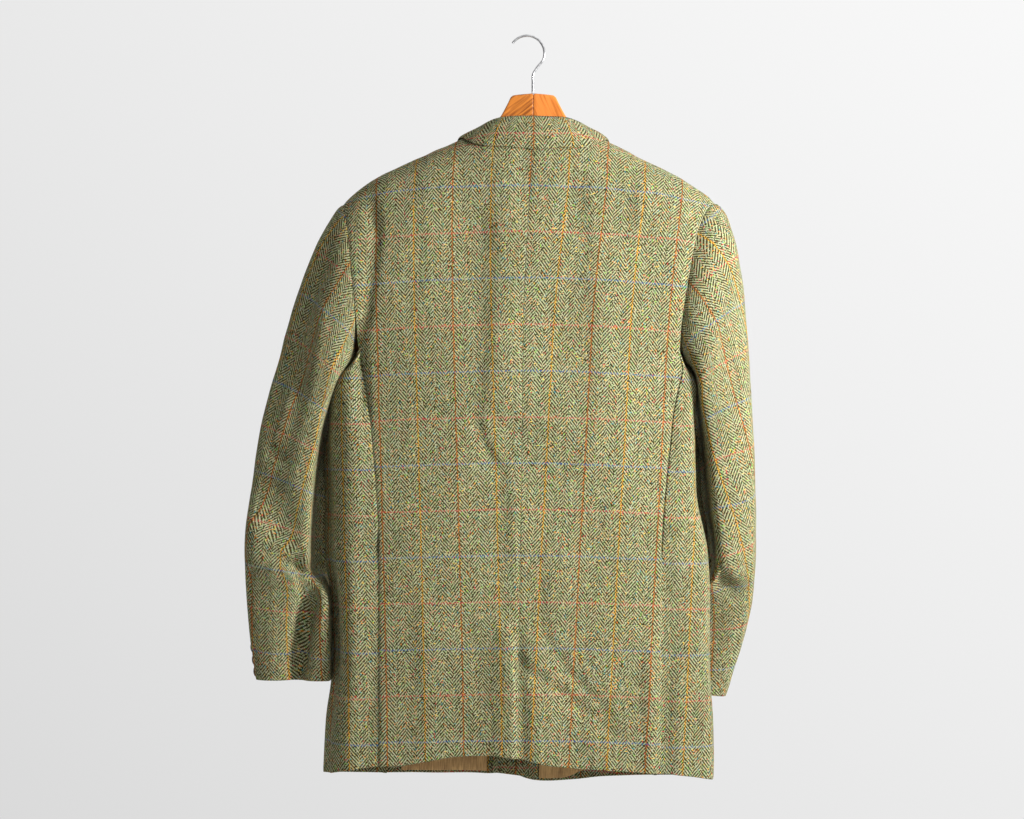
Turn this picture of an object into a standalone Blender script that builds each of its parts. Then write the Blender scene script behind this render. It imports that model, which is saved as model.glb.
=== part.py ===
"""Tweed hacking jacket hung on a wooden hanger, seen with its back towards -Y.

Every size is in millimetres until a point is written to a mesh. The origin is the
spot where the hook rests on its nail, +Z is up, the wearer's left is at -X and the
fronts face +Y. Each cloth piece is an open grid of points on the garment's surface,
made into a wall by Solidify.
"""
import math

import bmesh
import bpy
import numpy as np

MM = 0.001

# Driving sizes
CLOTH = 1.6            # wall of the body and sleeve panels
LINING = 1.0           # wall of the lining
SEAM_GAP = 0.4         # between two pieces that are sewn together
SLEEVE_GAP = 1.0       # the same on the tighter curves of the sleeves
SIDE_GAP = 0.6         # and of the side panels
JOINT_GAP = 3.2        # added where the side panel turns in at the armhole
SHOULDER_GAP = 0.7     # at the shoulder seam
NECK_X = 8.0           # middle of the neck; the whole jacket hangs a little askew
LEFT, RIGHT = -1, 1
BACK, FRONT = -1, 1
CROSS_POWER = 0.8      # cross sections are superellipses: cos and sin to this power
UNDERARM_POWER = 0.5   # the armhole is squarer at the underarm

# Body, one row per height: centre line, side-seam x, how far each flank stands out past
# its seam, and the depths of back, seam and front from the middle plane.
BODY_COLUMNS = ("z", "centre", "seam_left", "seam_right", "flank_left", "flank_right",
                "back", "seam", "front")
BODY_ROWS = (
    (-970, -14.5, -188.5, 171.0, 66.0, 67.0, 50.0, 38.0, 52.0),
    (-908, -13.5, -188.5, 170.5, 63.0, 67.5, 50.0, 38.0, 52.0),
    (-860, -12.4, -188.5, 170.5, 59.0, 65.5, 50.0, 38.0, 52.0),
    (-810, -11.6, -188.5, 170.5, 51.0, 62.5, 50.0, 38.0, 52.0),
    (-716, -10.3, -188.5, 170.5, 54.0, 62.0, 50.0, 38.0, 53.0),
    (-660, -9.8, -189.0, 170.5, 61.0, 63.0, 49.0, 38.0, 54.0),
    (-592, -8.5, -191.5, 175.0, 59.0, 50.0, 50.0, 38.0, 55.0),
    (-533, -7.8, -196.0, 181.0, 57.0, 42.0, 51.0, 38.0, 57.0),
    (-470, -7.2, -202.5, 188.0, 45.0, 26.0, 54.0, 37.5, 58.0),
    (-430, -6.6, -210.0, 197.0, 20.0, 7.0, 55.0, 36.5, 58.0),
    (-359, -5.5, 0.0, 0.0, 0.0, 0.0, 55.0, 0.0, 58.0),
    (-260, -1.1, 0.0, 0.0, 0.0, 0.0, 54.0, 0.0, 55.0),
    (-214, 1.9, 0.0, 0.0, 0.0, 0.0, 54.0, 0.0, 52.0),
    (-110, 7.7, 0.0, 0.0, 0.0, 0.0, 54.0, 0.0, 50.0),
)
SEAM_TOP = -430        # above this height the armhole gives the panels' outer edge
FLANK_LEAN = {-1: 20.0, 1: 12.0}   # the flanks are fuller towards the front

# Armholes: shoulder tip and underarm point, depth of the ring and how far its back and
# front halves are cut in towards the body.
ARMHOLES = {
    LEFT: dict(tip=(-239.0, -216.5), under=(-222.0, -420.0), depth=46.0,
               back_scoop=9.0, front_scoop=22.0),
    RIGHT: dict(tip=(243.0, -216.5), under=(209.0, -424.0), depth=46.0,
                back_scoop=22.0, front_scoop=24.0),
}
SEAM_ANGLES = {BACK: 142.0, FRONT: 218.0}   # where the side seams meet the armhole

# Shoulder line, from the middle of the neck (0) to the shoulder tip (1)
SHOULDER_COLUMNS = ("part", "z")
SHOULDER_ROWS = ((0.0, -100.0), (0.17, -107.0), (0.30, -123.0), (0.39, -134.5), (0.53, -150.5),
                 (0.70, -170.5), (0.86, -191.5), (0.96, -209.5), (1.0, -216.5))
NECK_PART = 0.33       # part of the shoulder line that the neck takes up
NECK_BACK_Z = -139.0   # back neck seam at the centre

# Hems, one row per place along the hem
HEM_COLUMNS = ("x", "back", "front")
HEM_ROWS = (
    (-190, -933.0, -954.0), (-160, -931.0, -955.0), (-127, -925.0, -956.0),
    (-85, -918.0, -957.0), (-50, -917.0, -959.0), (-13, -920.0, -963.0),
    (25, -929.0, -967.0), (62, -933.5, -965.0), (100, -936.5, -961.0), (170, -942.0, -957.0),
)
SIDE_HEM_DROP = 4.0    # the flank's hem below the line between its two seams

# Side vents: the side panel runs on under the back
VENT_TOP = -662.0
VENT_TUCK = 3.0        # how much deeper the underlap lies
VENT_UNDER = 26.0      # how far it runs under the back

# Fronts
FRONT_EDGE = {LEFT: 16.0, RIGHT: -31.0}     # front edge, from the centre line
LAP_OFFSET = {LEFT: 5.2, RIGHT: -2.2}       # the left front lies over the right one
LAP_FULL, LAP_END = 45.0, 110.0
ROLL_TOP = (70.0, -137.0)   # roll line at the neck, from the middle of the neck
ROLL_END_Z = -462.0         # roll line at the top button
ROLL_BOW = {LEFT: 1.33, RIGHT: 0.78}        # how the roll line bends between the two
CORNER = (58.0, 42.0)       # rounding of the lower front corner, across and up
BUTTON_Z = (-474.0, -580.0, -686.0)
CUFF_BUTTON_RINGS, CUFF_BUTTON_ANGLE = (13.85, 14.3, 14.75), -16.0   # beside the hindarm seam

# Slanted hip flap and breast welt: upper inner, upper outer, lower inner and lower outer
# corner, each as its distance from the centre line and its height
FLAP = ((52.0, -668.0), (160.0, -704.0), (54.0, -722.0), (163.0, -758.0))
WELT = ((92.0, -352.0), (186.0, -338.0), (92.0, -376.0), (186.0, -362.0))

# Lapel, one row per place down the roll line: the roll line's own height, and the outer
# edge's distance from the middle of the neck and its height.
LAPEL_COLUMNS = ("down", "roll_z", "edge_x", "edge_z")
LAPEL_ROWS = ((0.0, -192.0, 124.0, -227.0), (0.2, -240.0, 121.0, -268.0),
              (0.45, -305.0, 102.0, -325.0), (0.7, -372.0, 70.0, -384.0),
              (0.9, -432.0, 31.0, -437.0), (1.0, -458.0, 9.0, -461.0))

# Collar, one row per place from the centre back (0) to the gorge (1), as distances from
# the middle of the neck: seam, fold and leaf edge. The leaf edge lies on the shoulder's
# rounding, turned that many degrees from the shoulder line to the back (or the front, -).
COLLAR_COLUMNS = ("part", "seam_x", "seam_y", "seam_z", "fold_x", "fold_y", "fold_z",
                  "leaf_x", "leaf_turn")
COLLAR_ROWS = (
    (0.00, 0.0, -47.0, -137.0, 0.0, -43.0, -109.0, 0.0, 66.0),
    (0.22, 36.0, -43.5, -135.5, 36.0, -37.0, -109.0, 48.0, 57.0),
    (0.42, 63.0, -30.0, -129.5, 61.0, -19.0, -114.0, 82.0, 34.0),
    (0.58, 74.5, 1.0, -126.0, 71.0, 3.0, -119.5, 97.0, 0.0),
    (0.70, 66.0, 18.0, -131.0, 69.5, 20.0, -123.0, 101.0, -25.0),
    (0.80, 62.5, 28.0, -142.0, 67.5, 35.5, -133.0, 103.5, -45.0),
    (0.90, 55.0, 39.0, -165.0, 62.0, 48.5, -156.0, 104.5, -61.0),
    (1.00, 48.5, 45.0, -190.0, 55.0, 53.0, -183.0, 103.0, -74.0),
)
COLLAR_LIFT = 3.0      # leaf edge above the body's surface

# Sleeves, one row per ring: outer and inner point of the ring, its middle plane and its
# half depth. The first ring is the armhole.
SLEEVE_COLUMNS = ("outer_x", "outer_z", "inner_x", "inner_z", "middle_y", "depth", "hind", "fore",
                  "lean")
SLEEVE_ROWS = {
    LEFT: (
        (-239.0, -216.5, -222.0, -420.0, 0.0, 46.0, 100.0, 224.0, 0.0),
        (-250.0, -230.0, -231.0, -425.0, 0.0, 46.5, 97.0, 223.0, 0.0),
        (-260.0, -245.0, -239.0, -434.0, 0.0, 46.0, 94.0, 222.0, 3.0),
        (-275.0, -277.0, -248.0, -455.0, 1.0, 45.0, 90.0, 221.0, 9.0),
        (-290.0, -315.0, -256.5, -480.0, 2.0, 43.5, 85.0, 220.0, 14.0),
        (-305.0, -359.0, -264.0, -507.0, 3.0, 42.0, 80.0, 219.0, 18.0),
        (-318.5, -405.0, -269.5, -540.0, 4.0, 41.0, 74.0, 218.0, 20.0),
        (-332.0, -455.0, -273.5, -580.0, 5.0, 41.0, 68.0, 217.0, 16.0),
        (-343.0, -507.0, -276.0, -620.0, 6.0, 41.0, 60.0, 216.0, 19.0),
        (-351.5, -562.0, -278.0, -656.0, 8.0, 41.0, 52.0, 215.0, 23.0),
        (-359.0, -625.0, -278.0, -685.0, 11.0, 41.0, 44.0, 213.0, 24.0),
        (-361.0, -668.0, -264.0, -700.0, 14.0, 40.0, 38.0, 211.0, 16.0),
        (-361.5, -706.0, -255.5, -722.0, 18.0, 39.0, 34.0, 209.0, 9.0),
        (-360.5, -756.0, -253.5, -761.0, 23.0, 38.0, 30.0, 207.0, 8.0),
        (-356.5, -796.0, -253.5, -797.0, 27.0, 37.0, 28.0, 206.0, 8.0),
        (-352.5, -831.0, -253.0, -829.0, 30.0, 36.0, 28.0, 205.0, 8.0),
    ),
    RIGHT: (
        (243.0, -216.5, 209.0, -424.0, 0.0, 46.0, 100.0, 224.0, 0.0),
        (252.5, -228.5, 214.5, -427.5, 0.0, 46.5, 97.0, 223.0, 0.0),
        (259.5, -245.0, 218.0, -437.0, 0.0, 46.0, 94.0, 222.0, 2.0),
        (267.5, -275.0, 220.0, -457.0, 1.0, 45.0, 90.0, 221.0, 5.0),
        (273.5, -312.0, 224.0, -481.0, 3.0, 43.5, 85.0, 220.0, 8.0),
        (278.5, -355.0, 228.5, -508.0, 5.0, 42.0, 80.0, 219.0, 11.0),
        (282.0, -400.0, 232.5, -540.0, 7.0, 41.0, 74.0, 218.0, 13.0),
        (285.0, -450.0, 236.0, -578.0, 9.0, 41.0, 68.0, 217.0, 13.0),
        (289.0, -507.0, 239.5, -616.0, 11.0, 41.0, 62.0, 216.0, 13.0),
        (293.0, -566.0, 244.0, -650.0, 13.0, 41.0, 56.0, 215.0, 13.0),
        (296.0, -622.0, 244.0, -682.0, 21.0, 41.0, 50.0, 213.0, 11.0),
        (297.5, -668.0, 230.0, -712.0, 36.0, 40.0, 46.0, 211.0, 6.0),
        (296.5, -710.0, 212.0, -740.0, 61.0, 39.0, 42.0, 209.0, 4.0),
        (289.5, -761.0, 191.0, -774.0, 77.0, 38.0, 38.0, 207.0, 4.0),
        (277.5, -808.0, 174.0, -810.0, 82.0, 36.0, 36.0, 206.0, 4.0),
        (262.5, -858.0, 160.0, -845.0, 83.0, 34.0, 36.0, 205.0, 4.0),
    ),
}
LEAN_ANGLE, LEAN_WIDTH = 236.0, 30.0     # where the sleeve leans in to the body, in front
CLEAR_COLUMNS = ("down", "clear")        # between the armhole and the sleeve, down the ring
CLEAR_ROWS = ((0.0, 2.3), (0.1, 1.1), (0.2, 0.6), (0.7, 0.6), (0.85, 2.2), (1.0, 4.0))
SLEEVE_STEPS = 2       # rings made between two rows of the table

UNDERARM_LIFT = 2.4    # the sleeve's first ring rides over the side panel

# Folds that are large enough to shape the wall, one row each: the sleeve, ring position
# and angle where it starts and ends, its depth and its half width in degrees.
FOLD_COLUMNS = ("side", "ring_a", "angle_a", "ring_b", "angle_b", "depth", "width")
FOLD_ROWS = (
    (LEFT, 10.3, 128.0, 15.4, 88.0, 11.0, 20.0),
    (LEFT, 0.8, 55.0, 7.0, 52.0, 5.0, 17.0),
)

# Hanger, one row per place out from the middle: top, underside, half thickness and how
# square its section is (a power: 0.3 is nearly a box, 1 is an ellipse)
HANGER_COLUMNS = ("out", "top", "bottom", "thick", "square")
HANGER_ROWS = ((0.2, -73.5, -122.0, 11.0, 0.25), (27.0, -76.5, -127.0, 11.0, 0.25),
               (33.5, -88.0, -129.0, 11.5, 0.25), (41.5, -102.5, -133.0, 12.0, 0.3),
               (52.0, -115.0, -139.0, 13.0, 0.5), (78.0, -131.5, -154.0, 15.0, 0.8),
               (120.0, -150.5, -176.0, 17.0, 0.85), (165.0, -173.0, -199.0, 19.0, 0.85),
               (198.0, -191.5, -215.0, 19.0, 0.85), (212.0, -203.5, -220.0, 13.0, 0.85))
WIRE_RADIUS = 1.7
HOOK_RADIUS = 22.5


def table(columns, rows):
    """Turn named columns and rows into a dict of arrays."""
    return {name: np.array([row[i] for row in rows], float) for i, name in enumerate(columns)}


def smooth(xs, ys, x):
    """Monotone cubic through the points (xs, ys), held flat past its ends."""
    order = np.argsort(xs)
    xs, ys = np.asarray(xs, float)[order], np.asarray(ys, float)[order]
    step = np.diff(xs)
    slope = np.diff(ys) / step
    rate = np.zeros_like(ys)
    same = slope[:-1] * slope[1:] > 0
    rate[1:-1][same] = 2 * (slope[:-1] * slope[1:])[same] / (slope[:-1] + slope[1:])[same]
    rate[0], rate[-1] = slope[0], slope[-1]
    x = np.clip(x, xs[0], xs[-1])
    i = np.clip(np.searchsorted(xs, x) - 1, 0, len(step) - 1)
    t = (x - xs[i]) / step[i]
    a = (1 + 2 * t) * (1 - t) ** 2
    b = t * (1 - t) ** 2
    return (a * ys[i] + b * step[i] * rate[i] + (1 - a) * ys[i + 1]
            + t * t * (t - 1) * step[i] * rate[i + 1])


def ramp(x, low, high):
    """0 at low, 1 at high, with soft ends."""
    t = np.clip((x - low) / (high - low), 0.0, 1.0)
    return t * t * (3 - 2 * t)


BODY = table(BODY_COLUMNS, BODY_ROWS)
SHOULDER = table(SHOULDER_COLUMNS, SHOULDER_ROWS)
HEM = table(HEM_COLUMNS, HEM_ROWS)
LAPEL = table(LAPEL_COLUMNS, LAPEL_ROWS)
COLLAR = table(COLLAR_COLUMNS, COLLAR_ROWS)
HANGER = table(HANGER_COLUMNS, HANGER_ROWS)
SLEEVES = {side: table(SLEEVE_COLUMNS, rows) for side, rows in SLEEVE_ROWS.items()}
SLEEVE_CLEAR = table(CLEAR_COLUMNS, CLEAR_ROWS)
FOLDS = [dict(zip(FOLD_COLUMNS, row)) for row in FOLD_ROWS]


def body(name, z):
    return smooth(BODY["z"], BODY[name], z)


def rounded(angle):
    """Cosine and sine to CROSS_POWER, with their signs."""
    c, s = math.cos(math.radians(angle)), math.sin(math.radians(angle))
    return (math.copysign(abs(c) ** CROSS_POWER, c), math.copysign(abs(s) ** CROSS_POWER, s))


def squared(angle, amount=1.0):
    """As rounded, with a fuller lower half, which a sleeve loses ring by ring."""
    c, s = rounded(angle)
    if c < 0:
        power = CROSS_POWER + (UNDERARM_POWER - CROSS_POWER) * amount
        s = math.copysign(abs(math.sin(math.radians(angle))) ** power, s)
    return c, s


def armhole(side, angle):
    """Point on the armhole: 0 is the shoulder tip, 90 mid back, 180 the underarm."""
    a = ARMHOLES[side]
    c, s = squared(angle)
    half = (a["tip"][1] - a["under"][1]) / 2
    z = a["under"][1] + half * (1 + c)
    part = (1 - c) / 2
    scoop = a["back_scoop"] if s > 0 else a["front_scoop"]
    x = a["tip"][0] + (a["under"][0] - a["tip"][0]) * part - side * scoop * abs(s)
    return np.array((x, -a["depth"] * s, z))


def armhole_at(side, face, z):
    """Armhole point on the back or front half at height z."""
    a = ARMHOLES[side]
    half = (a["tip"][1] - a["under"][1]) / 2
    c = np.clip((z - a["under"][1]) / half - 1, -1, 1)
    angle = math.degrees(math.acos(math.copysign(abs(c) ** (1 / CROSS_POWER), c)))
    return armhole(side, angle if face == BACK else 360 - angle)


def edge_x(side, face, z):
    """Outer edge of a body panel at height z: shoulder tip, armhole or side seam."""
    joint = armhole(side, SEAM_ANGLES[face])
    if z >= ARMHOLES[side]["tip"][1]:
        return ARMHOLES[side]["tip"][0]
    if z > joint[2]:
        return armhole_at(side, face, z)[0]
    low = BODY["z"] <= SEAM_TOP
    name = "seam_left" if side == LEFT else "seam_right"
    return smooth(np.append(BODY["z"][low], joint[2]), np.append(BODY[name][low], joint[0]), z)


def edge_depth(side, face, z):
    """Depth of that edge from the middle plane, before the shoulder's rounding."""
    joint = armhole(side, SEAM_ANGLES[face])
    if z >= mid_height(side):
        return ARMHOLES[side]["depth"]
    if z > joint[2]:
        return abs(armhole_at(side, face, z)[1])
    low = BODY["z"] <= SEAM_TOP
    return smooth(np.append(BODY["z"][low], joint[2]),
                  np.append(BODY["seam"][low], abs(joint[1])), z)


def mid_height(side):
    return (ARMHOLES[side]["tip"][1] + ARMHOLES[side]["under"][1]) / 2


def crown(down, side):
    """Rise of the shoulder's rounding, 0 on the ridge and 1 at the armhole's middle."""
    reach = ARMHOLES[side]["tip"][1] - mid_height(side)
    c = np.clip(1 - down / reach, 0, 1) ** (1 / CROSS_POWER)
    return (1 - c * c) ** (CROSS_POWER / 2)


def ridge(side, part):
    """Height of the shoulder line for a part of the way from centre line to tip."""
    tip = ARMHOLES[side]["tip"][0]
    centre = body("centre", NECK_BACK_Z)
    x = centre + (tip - centre) * part
    return smooth(SHOULDER["part"], SHOULDER["z"], abs(x - NECK_X) / abs(tip - NECK_X))


def panel_y(side, face, x, z):
    """Depth of the body's surface, the height field that back and fronts lie on."""
    centre = body("centre", z)
    part = np.clip((x - centre) / (edge_x(side, face, z) - centre), 0, 1)
    bend = part ** 3
    depth = body("back" if face == BACK else "front", z) * (1 - bend)
    depth += edge_depth(side, face, z) * bend
    return face * depth * crown(ridge(side, part) - z, side)


# Rows of a body panel, as places on its outer edge: the shoulder's rounding, the lower
# half of the armhole, then the side seam, with close rows where the vent starts.
CROWN_ANGLES = (0.0, 14.0, 30.0, 47.0, 66.0, 90.0)
LOWER_ANGLES = {BACK: (107.0, 125.0, 142.0), FRONT: (253.0, 235.0, 218.0)}
SEAM_HEIGHTS = (-430.0, -455.0, -485.0, -520.0, -555.0, -595.0, -630.0, -650.0, -662.0, -682.0,
                -715.0, -755.0, -795.0, -835.0, -875.0, -908.0)


def edge_heights(side, face, hem):
    """Heights of the rows on a panel's outer edge below the shoulder's rounding."""
    armhole_rows = [armhole(side, angle)[2] for angle in LOWER_ANGLES[face]]
    return armhole_rows + list(SEAM_HEIGHTS) + [hem]


def column_heights(side, face, crest, hem, hem_at_edge, top=None):
    """Heights of the rows in one column, from the shoulder line down to the hem."""
    middle = mid_height(side)
    reach = ARMHOLES[side]["tip"][1] - middle
    start = 0.0
    if top is not None and top < crest:
        c = 1 - (crest - top) / reach
        start = math.degrees(math.acos(c ** (1 / CROSS_POWER)))
    heights = []
    for angle in CROWN_ANGLES:
        bent = start + (90 - start) * angle / 90
        heights.append(crest - reach * (1 - rounded(bent)[0]))
    low = crest - reach
    for z in edge_heights(side, face, hem_at_edge):
        share = (middle - z) / (middle - hem_at_edge)
        heights.append(low + (hem - low) * share)
    return heights


def neck_top(side, part):
    """Height of the back neck seam, or None past the neck."""
    if part >= NECK_PART:
        return None
    share = part / NECK_PART
    return NECK_BACK_Z + (ridge(side, NECK_PART) - NECK_BACK_Z) * share ** 2.2


def back_grid(side, columns):
    """Rows of points of one back panel."""
    parts = [i / (columns - 1) for i in range(columns)]
    hem_edge = hem_height("back", edge_x(side, BACK, -930))
    grid = []
    for part in parts:
        hem_x = body("centre", -930) + (edge_x(side, BACK, -930) - body("centre", -930)) * part
        hem = hem_height("back", hem_x)
        heights = column_heights(side, BACK, ridge(side, part), hem, hem_edge, neck_top(side, part))
        grid.append([panel_point(side, BACK, part, z) for z in heights])
    return pull_in(np.array(grid), top=SHOULDER_GAP)


def panel_point(side, face, part, z):
    centre = body("centre", z)
    x = centre + (edge_x(side, face, z) - centre) * part
    return (x, panel_y(side, face, x, z), z)


def pull_in(grid, gap=SEAM_GAP, inner=True, top=SEAM_GAP):
    """Leave half a seam gap along the seams of a grid[column][row]; gap may vary by row."""
    def shift(edge_points, next_points, width):
        away = next_points - edge_points
        length = np.linalg.norm(away, axis=1, keepdims=True)
        return edge_points + away / length * width / 2
    gaps = np.zeros((grid.shape[1], 1)) + np.reshape(gap, (-1, 1))
    if inner:
        grid[0] = shift(grid[0], grid[1], gaps)
    grid[-1] = shift(grid[-1], grid[-2], gaps)
    if top:
        grid[:, 0] = shift(grid[:, 0], grid[:, 1], top)
    return grid


def hem_height(face_name, x):
    return smooth(HEM["x"], HEM[face_name], x)


def roll_x(side, z):
    """The roll line above the top button, the front edge below it."""
    bottom = body("centre", ROLL_END_Z) + FRONT_EDGE[side]
    top = NECK_X + side * ROLL_TOP[0]
    share = np.clip((z - ROLL_END_Z) / (ROLL_TOP[1] - ROLL_END_Z), 0, 1)
    if z <= ROLL_END_Z:
        return body("centre", z) + FRONT_EDGE[side]
    return bottom + (top - bottom) * share ** ROLL_BOW[side]


def lap(side, x, z):
    """How far a front stands out or in where the fronts lap."""
    away = abs(x - body("centre", z))
    return LAP_OFFSET[side] * (1 - ramp(away, LAP_FULL, LAP_END)) * (1 - ramp(z, -350, -250))


def front_point(side, part, z):
    inner = roll_x(side, z)
    x = inner + (edge_x(side, FRONT, z) - inner) * part
    return (x, panel_y(side, FRONT, x, z) + lap(side, x, z), z)


def front_crest(side, part):
    """Height at which a column of the front meets the shoulder line."""
    z = NECK_BACK_Z
    for _ in range(20):
        x = front_point(side, part, z)[0]
        centre = body("centre", z)
        z = ridge(side, (x - centre) / (edge_x(side, FRONT, z) - centre))
    return z


def front_columns(columns):
    """Column places, closer together at the rounded front edge."""
    return [(i / (columns - 1)) ** 1.25 for i in range(columns)]


def front_grid(side, columns):
    """Rows of points of one front, up to its roll line."""
    hem_edge = hem_height("front", edge_x(side, FRONT, -950))
    grid = []
    for part in front_columns(columns):
        inner = roll_x(side, -940)
        hem_x = inner + (edge_x(side, FRONT, -950) - inner) * part
        out = abs(hem_x - inner)
        corner = max(0.0, 1 - out / CORNER[0])
        hem = hem_height("front", hem_x) + CORNER[1] * (1 - math.sqrt(1 - corner ** 2))
        top = ROLL_TOP[1] if part == 0 else None
        heights = column_heights(side, FRONT, front_crest(side, part), hem, hem_edge, top)
        grid.append([front_point(side, part, z) for z in heights])
    return pull_in(np.array(grid), inner=False, top=SHOULDER_GAP)


def side_grid(side, columns):
    """Rows of points of one side panel, from its back seam round to its front seam."""
    back_rows = edge_heights(side, BACK, hem_height("back", edge_x(side, BACK, -930)))[2:]
    front_rows = edge_heights(side, FRONT, hem_height("front", edge_x(side, FRONT, -950)))[2:]
    shares = [0.0, 0.035] + [(i + 1) / columns for i in range(columns)]
    grid = []
    for share in shares:
        turn = -90 + 180 * share
        start, end = SEAM_ANGLES[BACK], SEAM_ANGLES[FRONT]
        arc = armhole(side, start + (end - start) * share)
        column = []
        for zb, zf in zip(back_rows, front_rows):
            down = (back_rows[0] - zb) / (back_rows[0] - back_rows[-1])
            z = zb + (zf - zb) * share - SIDE_HEM_DROP * math.cos(math.radians(turn)) * down
            chord = back_rows[0] + (front_rows[0] - back_rows[0]) * share
            z += (arc[2] - chord) * (1 - ramp(down, 0.0, 0.25))
            column.append(flank_point(side, share, zb, zf, z, arc, down))
        grid.append(column)
    corner = 1 - ramp(np.linspace(0.0, 1.0, len(back_rows)), 0.0, 0.3)
    return pull_in(np.array(grid), SIDE_GAP + JOINT_GAP * corner)


def flank_point(side, share, zb, zf, z, arc, down):
    """Point of the side panel; below the vent's top its back edge runs under the back."""
    turn = -90 + 180 * share
    bulge, swing = rounded(turn)
    edges = [np.array((edge_x(side, face, height), face * edge_depth(side, face, height)))
             for face, height in ((BACK, zb), (FRONT, zf))]
    joints = [armhole(side, SEAM_ANGLES[face])[:2] for face in (BACK, FRONT)]
    chord = edges[0] + (edges[1] - edges[0]) * share
    flank = body("flank_left" if side == LEFT else "flank_right", z)
    lean = FLANK_LEAN[side] * math.sin(math.radians(2 * turn)) if turn > 0 else 0.0
    lean *= ramp(-z, 470, 550) * (1 - (side == RIGHT) * ramp(-z, 630, 690))
    depth = abs(edges[0 if turn < 0 else 1][1])
    out = np.array((side * (flank * bulge + lean), depth * swing - chord[1]))
    arc_out = arc[:2] - joints[0] - (joints[1] - joints[0]) * share
    settle = 1 - ramp(down, 0.0, 0.11)
    x, y = chord + out * (1 - settle) + arc_out * settle
    y += VENT_TUCK * ramp(-z, -VENT_TOP - 32, -VENT_TOP - 12) * (1 - share) ** 2
    if share == 0:
        under = ramp(-z, -VENT_TOP, -VENT_TOP + 20)
        x -= side * VENT_UNDER * under
        y += (panel_y(side, BACK, x, zb) + VENT_TUCK - y) * under
    return (x, y, z)


def sleeve_row(side, ring):
    """All the columns of the sleeve table at a place between its rings."""
    rings = np.arange(len(SLEEVES[side]["depth"]))
    return {name: smooth(rings, SLEEVES[side][name], ring) for name in SLEEVE_COLUMNS}


def sleeve_point(side, ring, angle):
    """Point of a sleeve: angle 0 is its outer line, 90 its back, 180 its inner line."""
    row = sleeve_row(side, ring)
    c, s = squared(angle, 1 - ramp(ring, 0.0, 5.0))
    share = (1 - c) / 2
    x = row["outer_x"] + (row["inner_x"] - row["outer_x"]) * share
    z = row["outer_z"] + (row["inner_z"] - row["outer_z"]) * share
    a = ARMHOLES[side]
    scoop = (a["back_scoop"] if s > 0 else a["front_scoop"]) * (1 - ramp(ring, 0.0, 3.0))
    x -= side * scoop * abs(s)
    y = row["middle_y"] - row["depth"] * s
    middle_x = (row["outer_x"] + row["inner_x"]) / 2
    middle_z = (row["outer_z"] + row["inner_z"]) / 2
    shrink = 1 - fold_depth(side, ring, angle) / row["depth"]
    x = middle_x + (x - middle_x) * shrink
    z = middle_z + (z - middle_z) * (1 - (1 - shrink) * 0.3)
    y = row["middle_y"] + (y - row["middle_y"]) * shrink
    x -= side * row["lean"] * math.exp(-((angle % 360 - LEAN_ANGLE) / LEAN_WIDTH) ** 2)
    clear = smooth(SLEEVE_CLEAR["down"], SLEEVE_CLEAR["clear"], share)
    x += side * clear * (1 - ramp(ring, 0.0, 2.0))
    z += UNDERARM_LIFT * ramp(share, 0.7, 1.0) * (1 - ramp(ring, 0.0, 2.0))
    return (x, y, z)


def fold_depth(side, ring, angle):
    """How far the folds press the sleeve in."""
    depth = 0.0
    for fold in FOLDS:
        if fold["side"] != side:
            continue
        along = (ring - fold["ring_a"]) / (fold["ring_b"] - fold["ring_a"])
        if not 0 < along < 1.001:
            continue
        line = fold["angle_a"] + (fold["angle_b"] - fold["angle_a"]) * along
        fade = ramp(along, 0.0, 0.25) * (1 - ramp(along, 0.85, 1.15))
        depth += fold["depth"] * fade * math.exp(-((angle - line) / fold["width"]) ** 2)
    return depth


def sleeve_grid(side, piece, columns):
    """Rows of points of a top sleeve or an under sleeve."""
    rings = len(SLEEVES[side]["depth"]) - 1
    places = [ring / SLEEVE_STEPS for ring in range(0, rings * SLEEVE_STEPS + 1)]
    grid = []
    for i in range(columns):
        share = i / (columns - 1)
        column = []
        for ring in places:
            row = sleeve_row(side, ring)
            if piece == "under":
                angle = row["hind"] + (row["fore"] - row["hind"]) * share
            else:
                angle = row["fore"] - 360 + (row["hind"] - row["fore"] + 360) * share
            column.append(sleeve_point(side, ring, angle))
        grid.append(column)
    return pull_in(np.array(grid), SLEEVE_GAP, top=0.0)


def lapel_grid(side, columns, rows):
    """Points of a lapel: the front's own surface moved out, rolled at its inner edge."""
    grid = []
    for i in range(columns):
        across = i / (columns - 1)
        column = []
        for j in range(rows):
            down = j / (rows - 1)
            roll_z, edge_x, edge_z = (smooth(LAPEL["down"], LAPEL[n], down)
                                      for n in ("roll_z", "edge_x", "edge_z"))
            inner = roll_x(side, roll_z)
            x = inner + (NECK_X + side * edge_x - inner) * across
            z = roll_z + (edge_z - roll_z) * across
            lift = CLOTH + 0.5 + 6.0 * math.sin(math.pi * min(across * 1.6 + 0.02, 1)) ** 2 * (1 - down)
            lift += 1.2 * across
            column.append((x, panel_y(side, FRONT, x, z) + lap(side, x, z) + lift, z))
        grid.append(column)
    return np.array(grid)


def shoulder_point(side, out, turn, lift):
    """Point on the shoulder's rounding, lifted off it; turn is 0 on the shoulder line."""
    x = NECK_X + side * out
    face = BACK if turn >= 0 else FRONT
    centre, tip = body("centre", NECK_BACK_Z), ARMHOLES[side]["tip"][0]
    part = np.clip((x - centre) / (tip - centre), 0, 1)
    reach = ARMHOLES[side]["tip"][1] - mid_height(side)
    c, s = rounded(abs(turn))
    z = ridge(side, part) - reach * (1 - c)
    depth = body("back" if face == BACK else "front", z)
    depth += (ARMHOLES[side]["depth"] - depth) * part ** 3
    power = 2 / CROSS_POWER - 1
    normal = np.array((0.0, face * s ** power / depth, c ** power / reach))
    return np.array((x, face * depth * s, z)) + normal / np.linalg.norm(normal) * lift


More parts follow.
